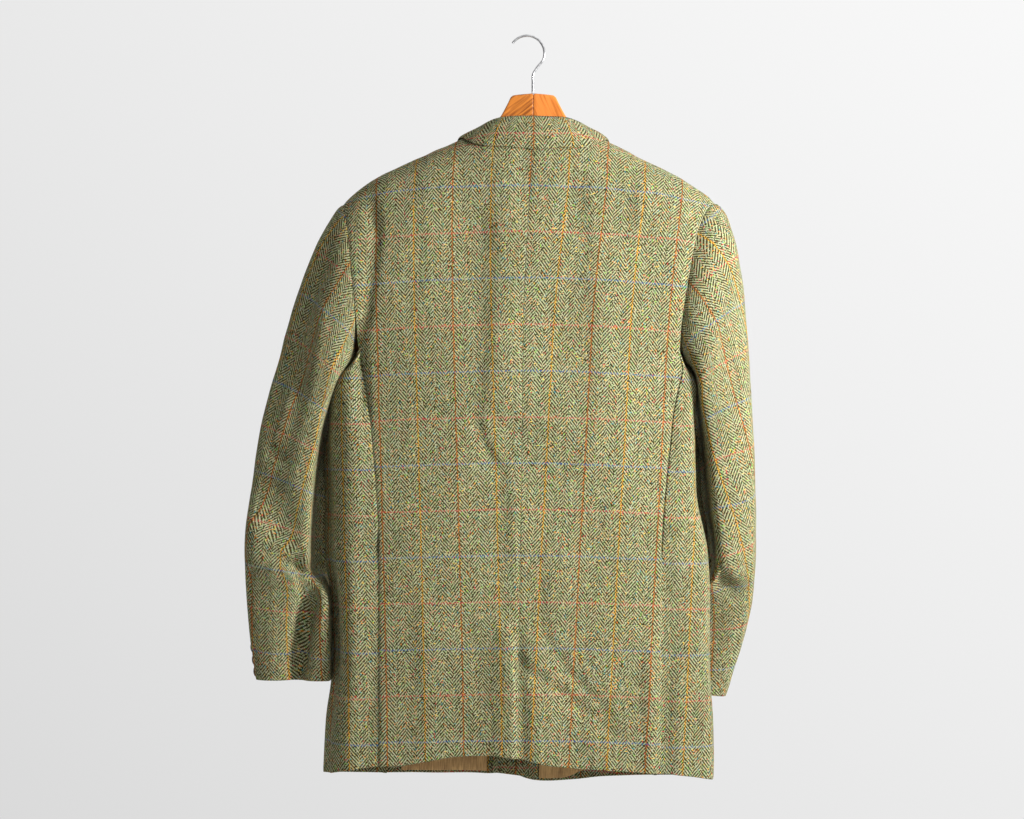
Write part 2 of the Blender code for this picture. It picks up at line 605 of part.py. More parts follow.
def collar_grid(columns, stand_rows=3, fall_rows=5):
    """Points of the collar, from one gorge round the back to the other."""
    grid = []
    for i in range(columns):
        place = -1 + 2 * i / (columns - 1)
        side = LEFT if place < 0 else RIGHT
        row = {n: smooth(COLLAR["part"], COLLAR[n], abs(place)) for n in COLLAR_COLUMNS}
        seam, fold = (np.array((NECK_X + side * row[n + "_x"], row[n + "_y"], row[n + "_z"]))
                      for n in ("seam", "fold"))
        leaf = shoulder_point(side, row["leaf_x"], row["leaf_turn"], COLLAR_LIFT)
        column = []
        for j in range(stand_rows):
            column.append(seam + (fold - seam) * (j / stand_rows))
        outward = np.array((leaf[0] - fold[0], leaf[1] - fold[1], 0.0))
        outward /= np.linalg.norm(outward)
        for j in range(fall_rows + 1):
            share = j / fall_rows
            roll = 4.0 * math.sin(math.pi * share) ** 0.8 if 0 < share < 1 else 0.0
            column.append(fold + (leaf - fold) * share + outward * roll)
        grid.append(column)
    return np.array(grid)


def patch_grid(side, corners, columns, rows, lift):
    """Points of a flap or welt, made from the front's surface moved out.

    corners are the upper inner, upper outer, lower inner and lower outer points, as
    distances from the centre line and heights.
    """
    grid = []
    for i in range(columns):
        across = i / (columns - 1)
        column = []
        for j in range(rows):
            down = j / (rows - 1)
            upper = np.array(corners[0]) * (1 - across) + np.array(corners[1]) * across
            lower = np.array(corners[2]) * (1 - across) + np.array(corners[3]) * across
            out, z = upper * (1 - down) + lower * down
            x = body("centre", z) + side * out
            column.append((x, panel_y(side, FRONT, x, z) + lap(side, x, z) + lift, z))
        grid.append(column)
    return np.array(grid)


def material(name, colour, roughness, metallic=0.0):
    made = bpy.data.materials.get(name)
    if made is None:
        made = bpy.data.materials.new(name)
        made.use_nodes = True
        shader = made.node_tree.nodes["Principled BSDF"]
        shader.inputs["Base Color"].default_value = (*colour, 1.0)
        shader.inputs["Roughness"].default_value = roughness
        shader.inputs["Metallic"].default_value = metallic
    return made


def place(collection, obj, made):
    obj.data.materials.append(made)
    for other in obj.users_collection:
        other.objects.unlink(obj)
    collection.objects.link(obj)
    return obj


def loft(name, grid, closed=False):
    """A mesh object from grid[column][row] of points in millimetres."""
    bm = bmesh.new()
    verts = [[bm.verts.new(np.asarray(point, float) * MM) for point in column] for column in grid]
    count = len(verts)
    for i in range(count if closed else count - 1):
        here, there = verts[i], verts[(i + 1) % count]
        for j in range(len(here) - 1):
            bm.faces.new((here[j], there[j], there[j + 1], here[j + 1]))
    mesh = bpy.data.meshes.new(name)
    bm.to_mesh(mesh)
    bm.free()
    return bpy.data.objects.new(name, mesh)


def cloth(collection, name, grid, made, thickness=CLOTH):
    """A grid of points as a wall of cloth, half its thickness each side of the points."""
    obj = loft(name, grid)
    wall = obj.modifiers.new("wall", "SOLIDIFY")
    wall.thickness = thickness * MM
    wall.offset = 0.0
    return place(collection, obj, made)


def button(collection, name, centre, normal, radius, thickness, made):
    """A round button with its face along normal."""
    bpy.ops.mesh.primitive_cylinder_add(vertices=20, radius=radius * MM, depth=thickness * MM)
    obj = bpy.context.object
    obj.name = name
    obj.data.name = name
    direction = np.asarray(normal, float)
    direction /= np.linalg.norm(direction)
    obj.location = [c * MM for c in centre]
    yaw = math.atan2(direction[1], direction[0])
    obj.rotation_euler = (0.0, math.acos(direction[2]), yaw)
    edge_round = obj.modifiers.new("rim", "BEVEL")
    edge_round.width = thickness * 0.3 * MM
    edge_round.segments = 2
    return place(collection, obj, made)


def add_hanger(collection, made):
    """Two wooden halves that meet at the middle, each lofted through round sections."""
    for side, name in ((LEFT, "hanger_left"), (RIGHT, "hanger_right")):
        rings = []
        for i in range(len(HANGER["out"])):
            x = NECK_X + side * HANGER["out"][i]
            top, bottom, thick, power = (HANGER[n][i] for n in HANGER_COLUMNS[1:])
            ring = []
            for k in range(16):
                angle = 2 * math.pi * k / 16
                c, s = math.cos(angle), math.sin(angle)
                y = thick * math.copysign(abs(s) ** power, s)
                z = (top + bottom) / 2 + (top - bottom) / 2 * math.copysign(abs(c) ** power, c)
                ring.append((x, y, z))
            rings.append(ring)
        rings = np.array(rings).transpose(1, 0, 2)
        obj = loft(name, rings if side == RIGHT else rings[::-1], closed=True)
        bm = bmesh.new()
        bm.from_mesh(obj.data)
        bmesh.ops.holes_fill(bm, edges=[e for e in bm.edges if e.is_boundary], sides=0)
        bmesh.ops.recalc_face_normals(bm, faces=bm.faces)
        bm.to_mesh(obj.data)
        bm.free()
        place(collection, obj, made)


def add_hook(collection, made):
    """The wire hook: up from the hanger, out to the right and round over the nail."""
    centre = np.array((0.0, WIRE_RADIUS - HOOK_RADIUS))
    points = [(NECK_X - 0.5, -72.6), (NECK_X - 0.5, -60.0), (NECK_X, -48.0), (NECK_X + 6.0, -38.0)]
    for degrees in range(-22, 153, 12):
        angle = math.radians(degrees)
        points.append(centre + HOOK_RADIUS * np.array((math.cos(angle), math.sin(angle))))
    curve = bpy.data.curves.new("hook", "CURVE")
    curve.dimensions = "3D"
    spline = curve.splines.new("POLY")
    spline.points.add(len(points) - 1)
    for slot, (x, z) in zip(spline.points, points):
        slot.co = (x * MM, 0.0, z * MM, 1.0)
    curve.bevel_depth = WIRE_RADIUS * MM
    curve.bevel_resolution = 2
    curve.use_fill_caps = True
    place(collection, bpy.data.objects.new("hook", curve), made)


def front_lining(side, out_from, out_to, columns, lift):
    """Part of a front's inner side near the hem, moved in by lift."""
    rows = (-760.0, -800.0, -840.0, -880.0, -915.0, -945.0)
    grid = []
    for i in range(columns):
        out = out_from + (out_to - out_from) * i / (columns - 1)
        column = []
        for z in rows:
            x = body("centre", z) + out
            hem = hem_height("front", x)
            low = z if z > rows[-1] else hem + 7.0
            column.append((x, panel_y(side, FRONT, x, low) + lap(side, x, low) - lift, low))
        grid.append(column)
    return np.array(grid)


def main():
    for obj in list(bpy.data.objects):
        bpy.data.objects.remove(obj)
    jacket = bpy.data.collections.new("jacket")
    bpy.context.scene.collection.children.link(jacket)
    tweed = material("tweed", (0.30, 0.28, 0.17), 0.95)
    lining = material("lining", (0.28, 0.19, 0.10), 0.45)
    horn = material("button", (0.10, 0.05, 0.025), 0.35)
    wood = material("wood", (0.65, 0.27, 0.07), 0.35)
    chrome = material("chrome", (0.75, 0.75, 0.76), 0.2, 1.0)

    for side, word in ((LEFT, "left"), (RIGHT, "right")):
        turn = 1 if side == RIGHT else -1
        cloth(jacket, "back_" + word, back_grid(side, 11)[::turn], tweed)
        cloth(jacket, "side_" + word, side_grid(side, 8)[::turn], tweed)
        cloth(jacket, "front_" + word, front_grid(side, 12)[::-turn], tweed)
        cloth(jacket, "lapel_" + word, lapel_grid(side, 6, 10)[::-turn], tweed)
        cloth(jacket, "under_sleeve_" + word, sleeve_grid(side, "under", 7)[::turn], tweed)
        cloth(jacket, "top_sleeve_" + word, sleeve_grid(side, "top", 15)[::turn], tweed)
        cloth(jacket, "flap_" + word, patch_grid(side, FLAP, 6, 3, CLOTH + 0.4)[::-turn], tweed)
    cloth(jacket, "breast_welt", patch_grid(LEFT, WELT, 5, 2, CLOTH + 0.4), tweed)
    cloth(jacket, "collar", collar_grid(29), tweed)

    cloth(jacket, "facing_right", front_lining(RIGHT, -30.0, 29.0, 4, CLOTH + 0.4)[::-1], tweed)
    cloth(jacket, "lining_right", front_lining(RIGHT, 30.0, 150.0, 6, CLOTH)[::-1], lining, LINING)
    cloth(jacket, "lining_left", front_lining(LEFT, -150.0, -38.0, 6, CLOTH)[::-1], lining, LINING)

    for i, z in enumerate(BUTTON_Z):
        x = body("centre", z)
        y = panel_y(LEFT, FRONT, x, z) + lap(LEFT, x, z) + CLOTH / 2 + 2.0
        button(jacket, f"front_button_{i + 1}", (x, y, z), (0, 1, 0), 10.0, 3.2, horn)

    for side, word in ((LEFT, "left"), (RIGHT, "right")):
        for i, ring in enumerate(CUFF_BUTTON_RINGS):
            here = np.array(sleeve_point(side, ring, CUFF_BUTTON_ANGLE))
            along = np.array(sleeve_point(side, ring + 0.1, CUFF_BUTTON_ANGLE)) - here
            across = np.array(sleeve_point(side, ring, CUFF_BUTTON_ANGLE + 5)) - here
            normal = np.cross(along, across) * side
            normal *= side * np.sign(normal[0]) / np.linalg.norm(normal)
            centre = here + normal * (CLOTH / 2 + 2.0)
            button(jacket, f"cuff_button_{word}_{i + 1}", centre, normal, 7.0, 2.6, horn)

    add_hanger(jacket, wood)
    add_hook(jacket, chrome)


main()
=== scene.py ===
"""Looks of a tweed hacking jacket on a wooden hanger, seen from behind.

The first half has the part's sizes and surfaces, in millimetres, except that the gaps at
the seams are a little narrower, the flanks below the armholes slimmer and the sleeves
flatter and more swung, as far as the photograph shows them so. The second half samples
them finely, lays creases and seams on them, and gives them a woven herringbone with an
overcheck, whose threads are worked out by the material from each piece's cut.
"""
import functools
import math

import bmesh
import bpy
import numpy as np
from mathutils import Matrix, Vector


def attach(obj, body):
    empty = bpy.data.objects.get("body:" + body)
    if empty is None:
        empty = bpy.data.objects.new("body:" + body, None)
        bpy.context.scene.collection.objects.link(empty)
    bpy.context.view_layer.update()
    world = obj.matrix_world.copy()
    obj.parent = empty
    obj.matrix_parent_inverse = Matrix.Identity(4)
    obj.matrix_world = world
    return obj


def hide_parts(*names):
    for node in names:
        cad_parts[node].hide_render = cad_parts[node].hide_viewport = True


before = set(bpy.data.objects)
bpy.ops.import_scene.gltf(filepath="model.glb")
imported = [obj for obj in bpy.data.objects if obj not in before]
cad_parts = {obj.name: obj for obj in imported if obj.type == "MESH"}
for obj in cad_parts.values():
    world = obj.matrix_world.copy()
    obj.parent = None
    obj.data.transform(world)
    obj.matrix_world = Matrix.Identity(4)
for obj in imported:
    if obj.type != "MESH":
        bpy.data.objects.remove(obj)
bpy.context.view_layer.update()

MM = 0.001

# Driving sizes
CLOTH = 1.6            # wall of the body and sleeve panels
LINING = 1.0           # wall of the lining
SEAM_GAP = 0.4         # between two pieces that are sewn together
SLEEVE_GAP = 0.4       # the same on the sleeves
SIDE_GAP = 0.3         # and of the side panels
JOINT_GAP = 0.3        # added where the side panel turns in at the armhole
SHOULDER_GAP = 0.7     # at the shoulder seam
NECK_X = 8.0           # middle of the neck; the whole jacket hangs a little askew
LEFT, RIGHT = -1, 1
BACK, FRONT = -1, 1
CROSS_POWER = 0.8      # cross sections are superellipses: cos and sin to this power
UNDERARM_POWER = 0.5   # the armhole is squarer at the underarm

# Body, one row per height: centre line, side-seam x, how far each flank stands out past
# its seam, and the depths of back, seam and front from the middle plane.
BODY_COLUMNS = ("z", "centre", "seam_left", "seam_right", "flank_left", "flank_right",
                "back", "seam", "front")
BODY_ROWS = (
    (-970, -14.5, -188.5, 171.0, 66.0, 67.0, 50.0, 38.0, 52.0),
    (-908, -13.5, -188.5, 170.5, 63.0, 67.5, 50.0, 38.0, 52.0),
    (-860, -12.4, -188.5, 170.5, 59.0, 65.5, 50.0, 38.0, 52.0),
    (-810, -11.6, -188.5, 170.5, 51.0, 62.5, 50.0, 38.0, 52.0),
    (-716, -10.3, -188.5, 170.5, 54.0, 62.0, 50.0, 38.0, 53.0),
    (-660, -9.8, -189.0, 170.5, 61.0, 59.0, 49.0, 38.0, 54.0),
    (-592, -8.5, -191.5, 175.0, 59.0, 42.0, 50.0, 38.0, 55.0),
    (-533, -7.8, -196.0, 181.0, 57.0, 33.0, 51.0, 38.0, 57.0),
    (-470, -7.2, -202.5, 188.0, 48.0, 23.0, 54.0, 37.5, 58.0),
    (-430, -6.6, -210.0, 197.0, 34.0, 18.0, 55.0, 36.5, 58.0),
    (-359, -5.5, 0.0, 0.0, 0.0, 0.0, 55.0, 0.0, 58.0),
    (-260, -1.1, 0.0, 0.0, 0.0, 0.0, 54.0, 0.0, 55.0),
    (-214, 1.9, 0.0, 0.0, 0.0, 0.0, 54.0, 0.0, 52.0),
    (-110, 7.7, 0.0, 0.0, 0.0, 0.0, 54.0, 0.0, 50.0),
)
SEAM_TOP = -430        # above this height the armhole gives the panels' outer edge
FLANK_LEAN = {-1: 20.0, 1: 15.0}   # the flanks are fuller towards the front

# Armholes: shoulder tip and underarm point, depth of the ring and how far its back and
# front halves are cut in towards the body.
ARMHOLES = {
    LEFT: dict(tip=(-239.0, -216.5), under=(-222.0, -420.0), depth=46.0,
               back_scoop=9.0, front_scoop=22.0),
    RIGHT: dict(tip=(243.0, -216.5), under=(209.0, -424.0), depth=46.0,
                back_scoop=22.0, front_scoop=24.0),
}
SEAM_ANGLES = {BACK: 142.0, FRONT: 218.0}   # where the side seams meet the armhole

# Shoulder line, from the middle of the neck (0) to the shoulder tip (1)
SHOULDER_COLUMNS = ("part", "z")
SHOULDER_ROWS = ((0.0, -100.0), (0.17, -107.0), (0.30, -123.0), (0.39, -134.5), (0.53, -150.5),
                 (0.70, -170.5), (0.86, -191.5), (0.96, -209.5), (1.0, -216.5))
NECK_PART = 0.33       # part of the shoulder line that the neck takes up
NECK_BACK_Z = -139.0   # back neck seam at the centre

# Hems, one row per place along the hem
HEM_COLUMNS = ("x", "back", "front")
HEM_ROWS = (
    (-190, -933.0, -954.0), (-160, -931.0, -955.0), (-127, -925.0, -956.0),
    (-85, -918.0, -957.0), (-50, -917.0, -959.0), (-13, -920.0, -963.0),
    (25, -929.0, -967.0), (62, -933.5, -965.0), (100, -936.5, -961.0), (170, -942.0, -957.0),
)
SIDE_HEM_DROP = 4.0    # the flank's hem below the line between its two seams

# Side vents: the side panel runs on under the back
VENT_TOP = -662.0
VENT_TUCK = 3.0        # how much deeper the underlap lies
VENT_UNDER = 26.0      # how far it runs under the back

# Fronts
FRONT_EDGE = {LEFT: 16.0, RIGHT: -31.0}     # front edge, from the centre line
LAP_OFFSET = {LEFT: 5.2, RIGHT: -2.2}       # the left front lies over the right one
LAP_FULL, LAP_END = 45.0, 110.0
ROLL_TOP = (70.0, -137.0)   # roll line at the neck, from the middle of the neck
ROLL_END_Z = -462.0         # roll line at the top button
ROLL_BOW = {LEFT: 1.33, RIGHT: 0.78}        # how the roll line bends between the two
CORNER = (58.0, 42.0)       # rounding of the lower front corner, across and up
BUTTON_Z = (-474.0, -580.0, -686.0)
CUFF_BUTTON_RINGS, CUFF_BUTTON_ANGLE = (13.85, 14.3, 14.75), -16.0   # beside the hindarm seam

# Slanted hip flap and breast welt: upper inner, upper outer, lower inner and lower outer
# corner, each as its distance from the centre line and its height
FLAP = ((52.0, -668.0), (160.0, -704.0), (54.0, -722.0), (163.0, -758.0))
WELT = ((92.0, -352.0), (186.0, -338.0), (92.0, -376.0), (186.0, -362.0))

# Lapel, one row per place down the roll line: the roll line's own height, and the outer
# edge's distance from the middle of the neck and its height.
LAPEL_COLUMNS = ("down", "roll_z", "edge_x", "edge_z")
LAPEL_ROWS = ((0.0, -192.0, 124.0, -227.0), (0.2, -240.0, 121.0, -268.0),
              (0.45, -305.0, 102.0, -325.0), (0.7, -372.0, 70.0, -384.0),
              (0.9, -432.0, 31.0, -437.0), (1.0, -458.0, 9.0, -461.0))

# Collar, one row per place from the centre back (0) to the gorge (1), as distances from
# the middle of the neck: seam, fold and leaf edge. The leaf edge lies on the shoulder's
# rounding, turned that many degrees from the shoulder line to the back (or the front, -).
COLLAR_COLUMNS = ("part", "seam_x", "seam_y", "seam_z", "fold_x", "fold_y", "fold_z",
                  "leaf_x", "leaf_turn")
COLLAR_ROWS = (
    (0.00, 0.0, -47.0, -137.0, 0.0, -43.0, -109.0, 0.0, 66.0),
    (0.22, 36.0, -43.5, -135.5, 36.0, -37.0, -109.0, 48.0, 57.0),
    (0.42, 63.0, -30.0, -129.5, 61.0, -19.0, -114.0, 82.0, 34.0),
    (0.58, 74.5, 1.0, -126.0, 71.0, 3.0, -119.5, 97.0, 0.0),
    (0.70, 66.0, 18.0, -131.0, 69.5, 20.0, -123.0, 101.0, -25.0),
    (0.80, 62.5, 28.0, -142.0, 67.5, 35.5, -133.0, 103.5, -45.0),
    (0.90, 55.0, 39.0, -165.0, 62.0, 48.5, -156.0, 104.5, -61.0),
    (1.00, 48.5, 45.0, -190.0, 55.0, 53.0, -183.0, 103.0, -74.0),
)
COLLAR_LIFT = 3.0      # leaf edge above the body's surface

# Sleeves, one row per ring: outer and inner point of the ring, its middle plane and its
# half depth. The first ring is the armhole.
SLEEVE_COLUMNS = ("outer_x", "outer_z", "inner_x", "inner_z", "middle_y", "depth", "hind", "fore",
                  "lean")
SLEEVE_ROWS = {
    LEFT: (
        (-239.0, -216.5, -222.0, -420.0, 0.0, 46.0, 100.0, 224.0, 0.0),
        (-250.0, -230.0, -231.0, -425.0, 0.0, 46.5, 97.0, 223.0, 8.0),
        (-260.0, -245.0, -239.0, -434.0, 0.0, 46.0, 94.0, 222.0, 13.0),
        (-275.0, -277.0, -248.0, -455.0, 1.0, 45.0, 90.0, 221.0, 17.0),
        (-290.0, -315.0, -256.5, -480.0, 2.0, 43.5, 85.0, 220.0, 19.0),
        (-305.0, -359.0, -264.0, -507.0, 3.0, 42.0, 80.0, 219.0, 18.0),
        (-318.5, -405.0, -269.5, -540.0, 4.0, 41.0, 74.0, 218.0, 22.0),
        (-332.0, -455.0, -273.5, -580.0, 5.0, 41.0, 68.0, 217.0, 25.0),
        (-343.0, -507.0, -276.0, -620.0, 6.0, 41.0, 60.0, 216.0, 26.0),
        (-351.5, -562.0, -278.0, -656.0, 8.0, 41.0, 52.0, 215.0, 28.0),
        (-359.0, -625.0, -278.0, -685.0, 11.0, 41.0, 44.0, 213.0, 28.0),
        (-361.0, -668.0, -264.0, -700.0, 14.0, 40.0, 38.0, 211.0, 16.0),
        (-361.5, -706.0, -255.5, -722.0, 18.0, 39.0, 34.0, 209.0, 9.0),
        (-360.5, -756.0, -253.5, -761.0, 23.0, 38.0, 30.0, 207.0, 8.0),
        (-356.5, -796.0, -253.5, -797.0, 27.0, 37.0, 28.0, 206.0, 8.0),
        (-352.5, -831.0, -253.0, -829.0, 30.0, 36.0, 28.0, 205.0, 8.0),
    ),
    RIGHT: (
        (243.0, -216.5, 209.0, -424.0, 0.0, 46.0, 100.0, 224.0, 0.0),
        (252.5, -228.5, 214.5, -427.5, 0.0, 46.5, 97.0, 223.0, 6.0),
        (259.5, -245.0, 218.0, -437.0, 0.0, 46.0, 94.0, 222.0, 10.0),
        (267.5, -275.0, 220.0, -457.0, 1.0, 45.0, 90.0, 221.0, 13.0),
        (273.5, -312.0, 224.0, -481.0, 3.0, 43.5, 85.0, 220.0, 14.0),
        (278.5, -355.0, 228.5, -508.0, 5.0, 42.0, 80.0, 219.0, 16.0),
        (282.0, -400.0, 232.5, -540.0, 7.0, 41.0, 74.0, 218.0, 24.0),
        (285.0, -450.0, 236.0, -578.0, 9.0, 41.0, 68.0, 217.0, 26.0),
        (289.0, -507.0, 239.5, -616.0, 11.0, 41.0, 62.0, 216.0, 26.0),
        (293.0, -566.0, 244.0, -650.0, 13.0, 41.0, 56.0, 215.0, 22.0),
        (296.0, -622.0, 244.0, -682.0, 21.0, 41.0, 50.0, 213.0, 15.0),
        (297.5, -668.0, 230.0, -712.0, 36.0, 40.0, 46.0, 211.0, 6.0),
        (296.5, -710.0, 212.0, -740.0, 61.0, 39.0, 42.0, 209.0, 4.0),
        (289.5, -761.0, 191.0, -774.0, 77.0, 38.0, 38.0, 207.0, 4.0),
        (277.5, -808.0, 174.0, -810.0, 82.0, 36.0, 36.0, 206.0, 4.0),
        (262.5, -858.0, 160.0, -845.0, 83.0, 34.0, 36.0, 205.0, 4.0),
    ),
}
LEAN_ANGLE, LEAN_WIDTH = 236.0, 30.0     # where the sleeve leans in to the body, in front
# How the section's back slopes up to the inner line, ring by ring, and powers that make it
# flatter: over the outer half, and at the inner line
SKEW_COLUMNS = ("ring", "left", "right")
SKEW_ROWS = ((0, 0.0, 0.0), (1, 0.2, 0.1), (3, 0.45, 0.3), (6, 0.9, 0.3), (9, 0.8, 0.2), (10.5, -0.3, 0.0),
             (12, 0.6, -0.6), (15, 0.8, -0.6))
FLATTER = {LEFT: (0.6, 0.2), RIGHT: (0.5, 0.25)}
CLEAR_COLUMNS = ("down", "clear")        # between the armhole and the sleeve, down the ring
CLEAR_ROWS = ((0.0, 2.3), (0.1, 1.1), (0.2, 0.6), (0.7, 0.6), (0.85, 2.2), (1.0, 4.0))
SLEEVE_STEPS = 2       # rings made between two rows of the table

UNDERARM_LIFT = 2.4    # the sleeve's first ring rides over the side panel

# Folds that are large enough to shape the wall, one row each: the sleeve, ring position
# and angle where it starts and ends, its depth and its half width in degrees.
FOLD_COLUMNS = ("side", "ring_a", "angle_a", "ring_b", "angle_b", "depth", "width")
FOLD_ROWS = (
    (LEFT, 9.4, 138.0, 15.4, 88.0, 14.0, 19.0),
    (LEFT, 0.8, 55.0, 7.0, 52.0, 5.0, 17.0),
)

# Hanger, one row per place out from the middle: top, underside, half thickness and how
# square its section is (a power: 0.3 is nearly a box, 1 is an ellipse)
HANGER_COLUMNS = ("out", "top", "bottom", "thick", "square")
HANGER_ROWS = ((0.2, -73.5, -122.0, 11.0, 0.25), (27.0, -76.5, -127.0, 11.0, 0.25),
               (33.5, -88.0, -129.0, 11.5, 0.25), (41.5, -102.5, -133.0, 12.0, 0.3),
               (52.0, -115.0, -139.0, 13.0, 0.5), (78.0, -131.5, -154.0, 15.0, 0.8),
               (120.0, -150.5, -176.0, 17.0, 0.85), (165.0, -173.0, -199.0, 19.0, 0.85),
               (198.0, -191.5, -215.0, 19.0, 0.85), (212.0, -203.5, -220.0, 13.0, 0.85))
WIRE_RADIUS = 1.7
HOOK_RADIUS = 22.5


def table(columns, rows):
    """Turn named columns and rows into a dict of arrays."""
    return {name: np.array([row[i] for row in rows], float) for i, name in enumerate(columns)}


def smooth(xs, ys, x):
    """Monotone cubic through the points (xs, ys), held flat past its ends."""
    order = np.argsort(xs)
    xs, ys = np.asarray(xs, float)[order], np.asarray(ys, float)[order]
    step = np.diff(xs)
    slope = np.diff(ys) / step
    rate = np.zeros_like(ys)
    same = slope[:-1] * slope[1:] > 0
    rate[1:-1][same] = 2 * (slope[:-1] * slope[1:])[same] / (slope[:-1] + slope[1:])[same]
    rate[0], rate[-1] = slope[0], slope[-1]
    x = np.clip(x, xs[0], xs[-1])
    i = np.clip(np.searchsorted(xs, x) - 1, 0, len(step) - 1)
    t = (x - xs[i]) / step[i]
    a = (1 + 2 * t) * (1 - t) ** 2
    b = t * (1 - t) ** 2
    return (a * ys[i] + b * step[i] * rate[i] + (1 - a) * ys[i + 1]
            + t * t * (t - 1) * step[i] * rate[i + 1])


def ramp(x, low, high):
    """0 at low, 1 at high, with soft ends."""
    t = np.clip((x - low) / (high - low), 0.0, 1.0)
    return t * t * (3 - 2 * t)


BODY = table(BODY_COLUMNS, BODY_ROWS)
SHOULDER = table(SHOULDER_COLUMNS, SHOULDER_ROWS)
HEM = table(HEM_COLUMNS, HEM_ROWS)
LAPEL = table(LAPEL_COLUMNS, LAPEL_ROWS)
COLLAR = table(COLLAR_COLUMNS, COLLAR_ROWS)
HANGER = table(HANGER_COLUMNS, HANGER_ROWS)
SLEEVES = {side: table(SLEEVE_COLUMNS, rows) for side, rows in SLEEVE_ROWS.items()}
SLEEVE_CLEAR = table(CLEAR_COLUMNS, CLEAR_ROWS)
SKEW = table(SKEW_COLUMNS, SKEW_ROWS)
FOLDS = [dict(zip(FOLD_COLUMNS, row)) for row in FOLD_ROWS]


def body(name, z):
    return smooth(BODY["z"], BODY[name], z)


def rounded(angle):
    """Cosine and sine to CROSS_POWER, with their signs."""
    c, s = math.cos(math.radians(angle)), math.sin(math.radians(angle))
    return (math.copysign(abs(c) ** CROSS_POWER, c), math.copysign(abs(s) ** CROSS_POWER, s))


def squared(angle, amount=1.0):
    """As rounded, with a fuller lower half, which a sleeve loses ring by ring."""
    c, s = rounded(angle)
    if c < 0:
        power = CROSS_POWER + (UNDERARM_POWER - CROSS_POWER) * amount
        s = math.copysign(abs(math.sin(math.radians(angle))) ** power, s)
    return c, s


def armhole(side, angle):
    """Point on the armhole: 0 is the shoulder tip, 90 mid back, 180 the underarm."""
    a = ARMHOLES[side]
    c, s = squared(angle)
    half = (a["tip"][1] - a["under"][1]) / 2
    z = a["under"][1] + half * (1 + c)
    part = (1 - c) / 2
    scoop = a["back_scoop"] if s > 0 else a["front_scoop"]
    x = a["tip"][0] + (a["under"][0] - a["tip"][0]) * part - side * scoop * abs(s)
    return np.array((x, -a["depth"] * s, z))


def armhole_at(side, face, z):
    """Armhole point on the back or front half at height z."""
    a = ARMHOLES[side]
    half = (a["tip"][1] - a["under"][1]) / 2
    c = np.clip((z - a["under"][1]) / half - 1, -1, 1)
    angle = math.degrees(math.acos(math.copysign(abs(c) ** (1 / CROSS_POWER), c)))
    return armhole(side, angle if face == BACK else 360 - angle)


def edge_x(side, face, z):
    """Outer edge of a body panel at height z: shoulder tip, armhole or side seam."""
    joint = armhole(side, SEAM_ANGLES[face])
    if z >= ARMHOLES[side]["tip"][1]:
        return ARMHOLES[side]["tip"][0]
    if z > joint[2]:
        return armhole_at(side, face, z)[0]
    low = BODY["z"] <= SEAM_TOP
    name = "seam_left" if side == LEFT else "seam_right"
    return smooth(np.append(BODY["z"][low], joint[2]), np.append(BODY[name][low], joint[0]), z)


def edge_depth(side, face, z):
    """Depth of that edge from the middle plane, before the shoulder's rounding."""
    joint = armhole(side, SEAM_ANGLES[face])
    if z >= mid_height(side):
        return ARMHOLES[side]["depth"]
    if z > joint[2]:
        return abs(armhole_at(side, face, z)[1])
    low = BODY["z"] <= SEAM_TOP
    return smooth(np.append(BODY["z"][low], joint[2]),
                  np.append(BODY["seam"][low], abs(joint[1])), z)


def mid_height(side):
    return (ARMHOLES[side]["tip"][1] + ARMHOLES[side]["under"][1]) / 2


def crown(down, side):
    """Rise of the shoulder's rounding, 0 on the ridge and 1 at the armhole's middle."""
    reach = ARMHOLES[side]["tip"][1] - mid_height(side)
    c = np.clip(1 - down / reach, 0, 1) ** (1 / CROSS_POWER)
    return (1 - c * c) ** (CROSS_POWER / 2)


def ridge(side, part):
    """Height of the shoulder line for a part of the way from centre line to tip."""
    tip = ARMHOLES[side]["tip"][0]
    centre = body("centre", NECK_BACK_Z)
    x = centre + (tip - centre) * part
    return smooth(SHOULDER["part"], SHOULDER["z"], abs(x - NECK_X) / abs(tip - NECK_X))


def panel_y(side, face, x, z):
    """Depth of the body's surface, the height field that back and fronts lie on."""
    centre = body("centre", z)
    part = np.clip((x - centre) / (edge_x(side, face, z) - centre), 0, 1)
    bend = part ** 3
    depth = body("back" if face == BACK else "front", z) * (1 - bend)
    depth += edge_depth(side, face, z) * bend
    return face * depth * crown(ridge(side, part) - z, side)


# Rows of a body panel, as places on its outer edge: the shoulder's rounding, the lower
# half of the armhole, then the side seam, with close rows where the vent starts.
CROWN_ANGLES = (0.0, 14.0, 30.0, 47.0, 66.0, 90.0)
LOWER_ANGLES = {BACK: (107.0, 125.0, 142.0), FRONT: (253.0, 235.0, 218.0)}
SEAM_HEIGHTS = (-430.0, -455.0, -485.0, -520.0, -555.0, -595.0, -630.0, -650.0, -662.0, -682.0,
                -715.0, -755.0, -795.0, -835.0, -875.0, -908.0)


def edge_heights(side, face, hem):
    """Heights of the rows on a panel's outer edge below the shoulder's rounding."""
    armhole_rows = [armhole(side, angle)[2] for angle in LOWER_ANGLES[face]]
    return armhole_rows + list(SEAM_HEIGHTS) + [hem]


def column_heights(side, face, crest, hem, hem_at_edge, top=None):
    """Heights of the rows in one column, from the shoulder line down to the hem."""
    middle = mid_height(side)
    reach = ARMHOLES[side]["tip"][1] - middle
    start = 0.0
    if top is not None and top < crest:
        c = 1 - (crest - top) / reach
        start = math.degrees(math.acos(c ** (1 / CROSS_POWER)))
    heights = []
    for angle in CROWN_ANGLES:
        bent = start + (90 - start) * angle / 90
        heights.append(crest - reach * (1 - rounded(bent)[0]))
    low = crest - reach
    for z in edge_heights(side, face, hem_at_edge):
        share = (middle - z) / (middle - hem_at_edge)
        heights.append(low + (hem - low) * share)
    return heights


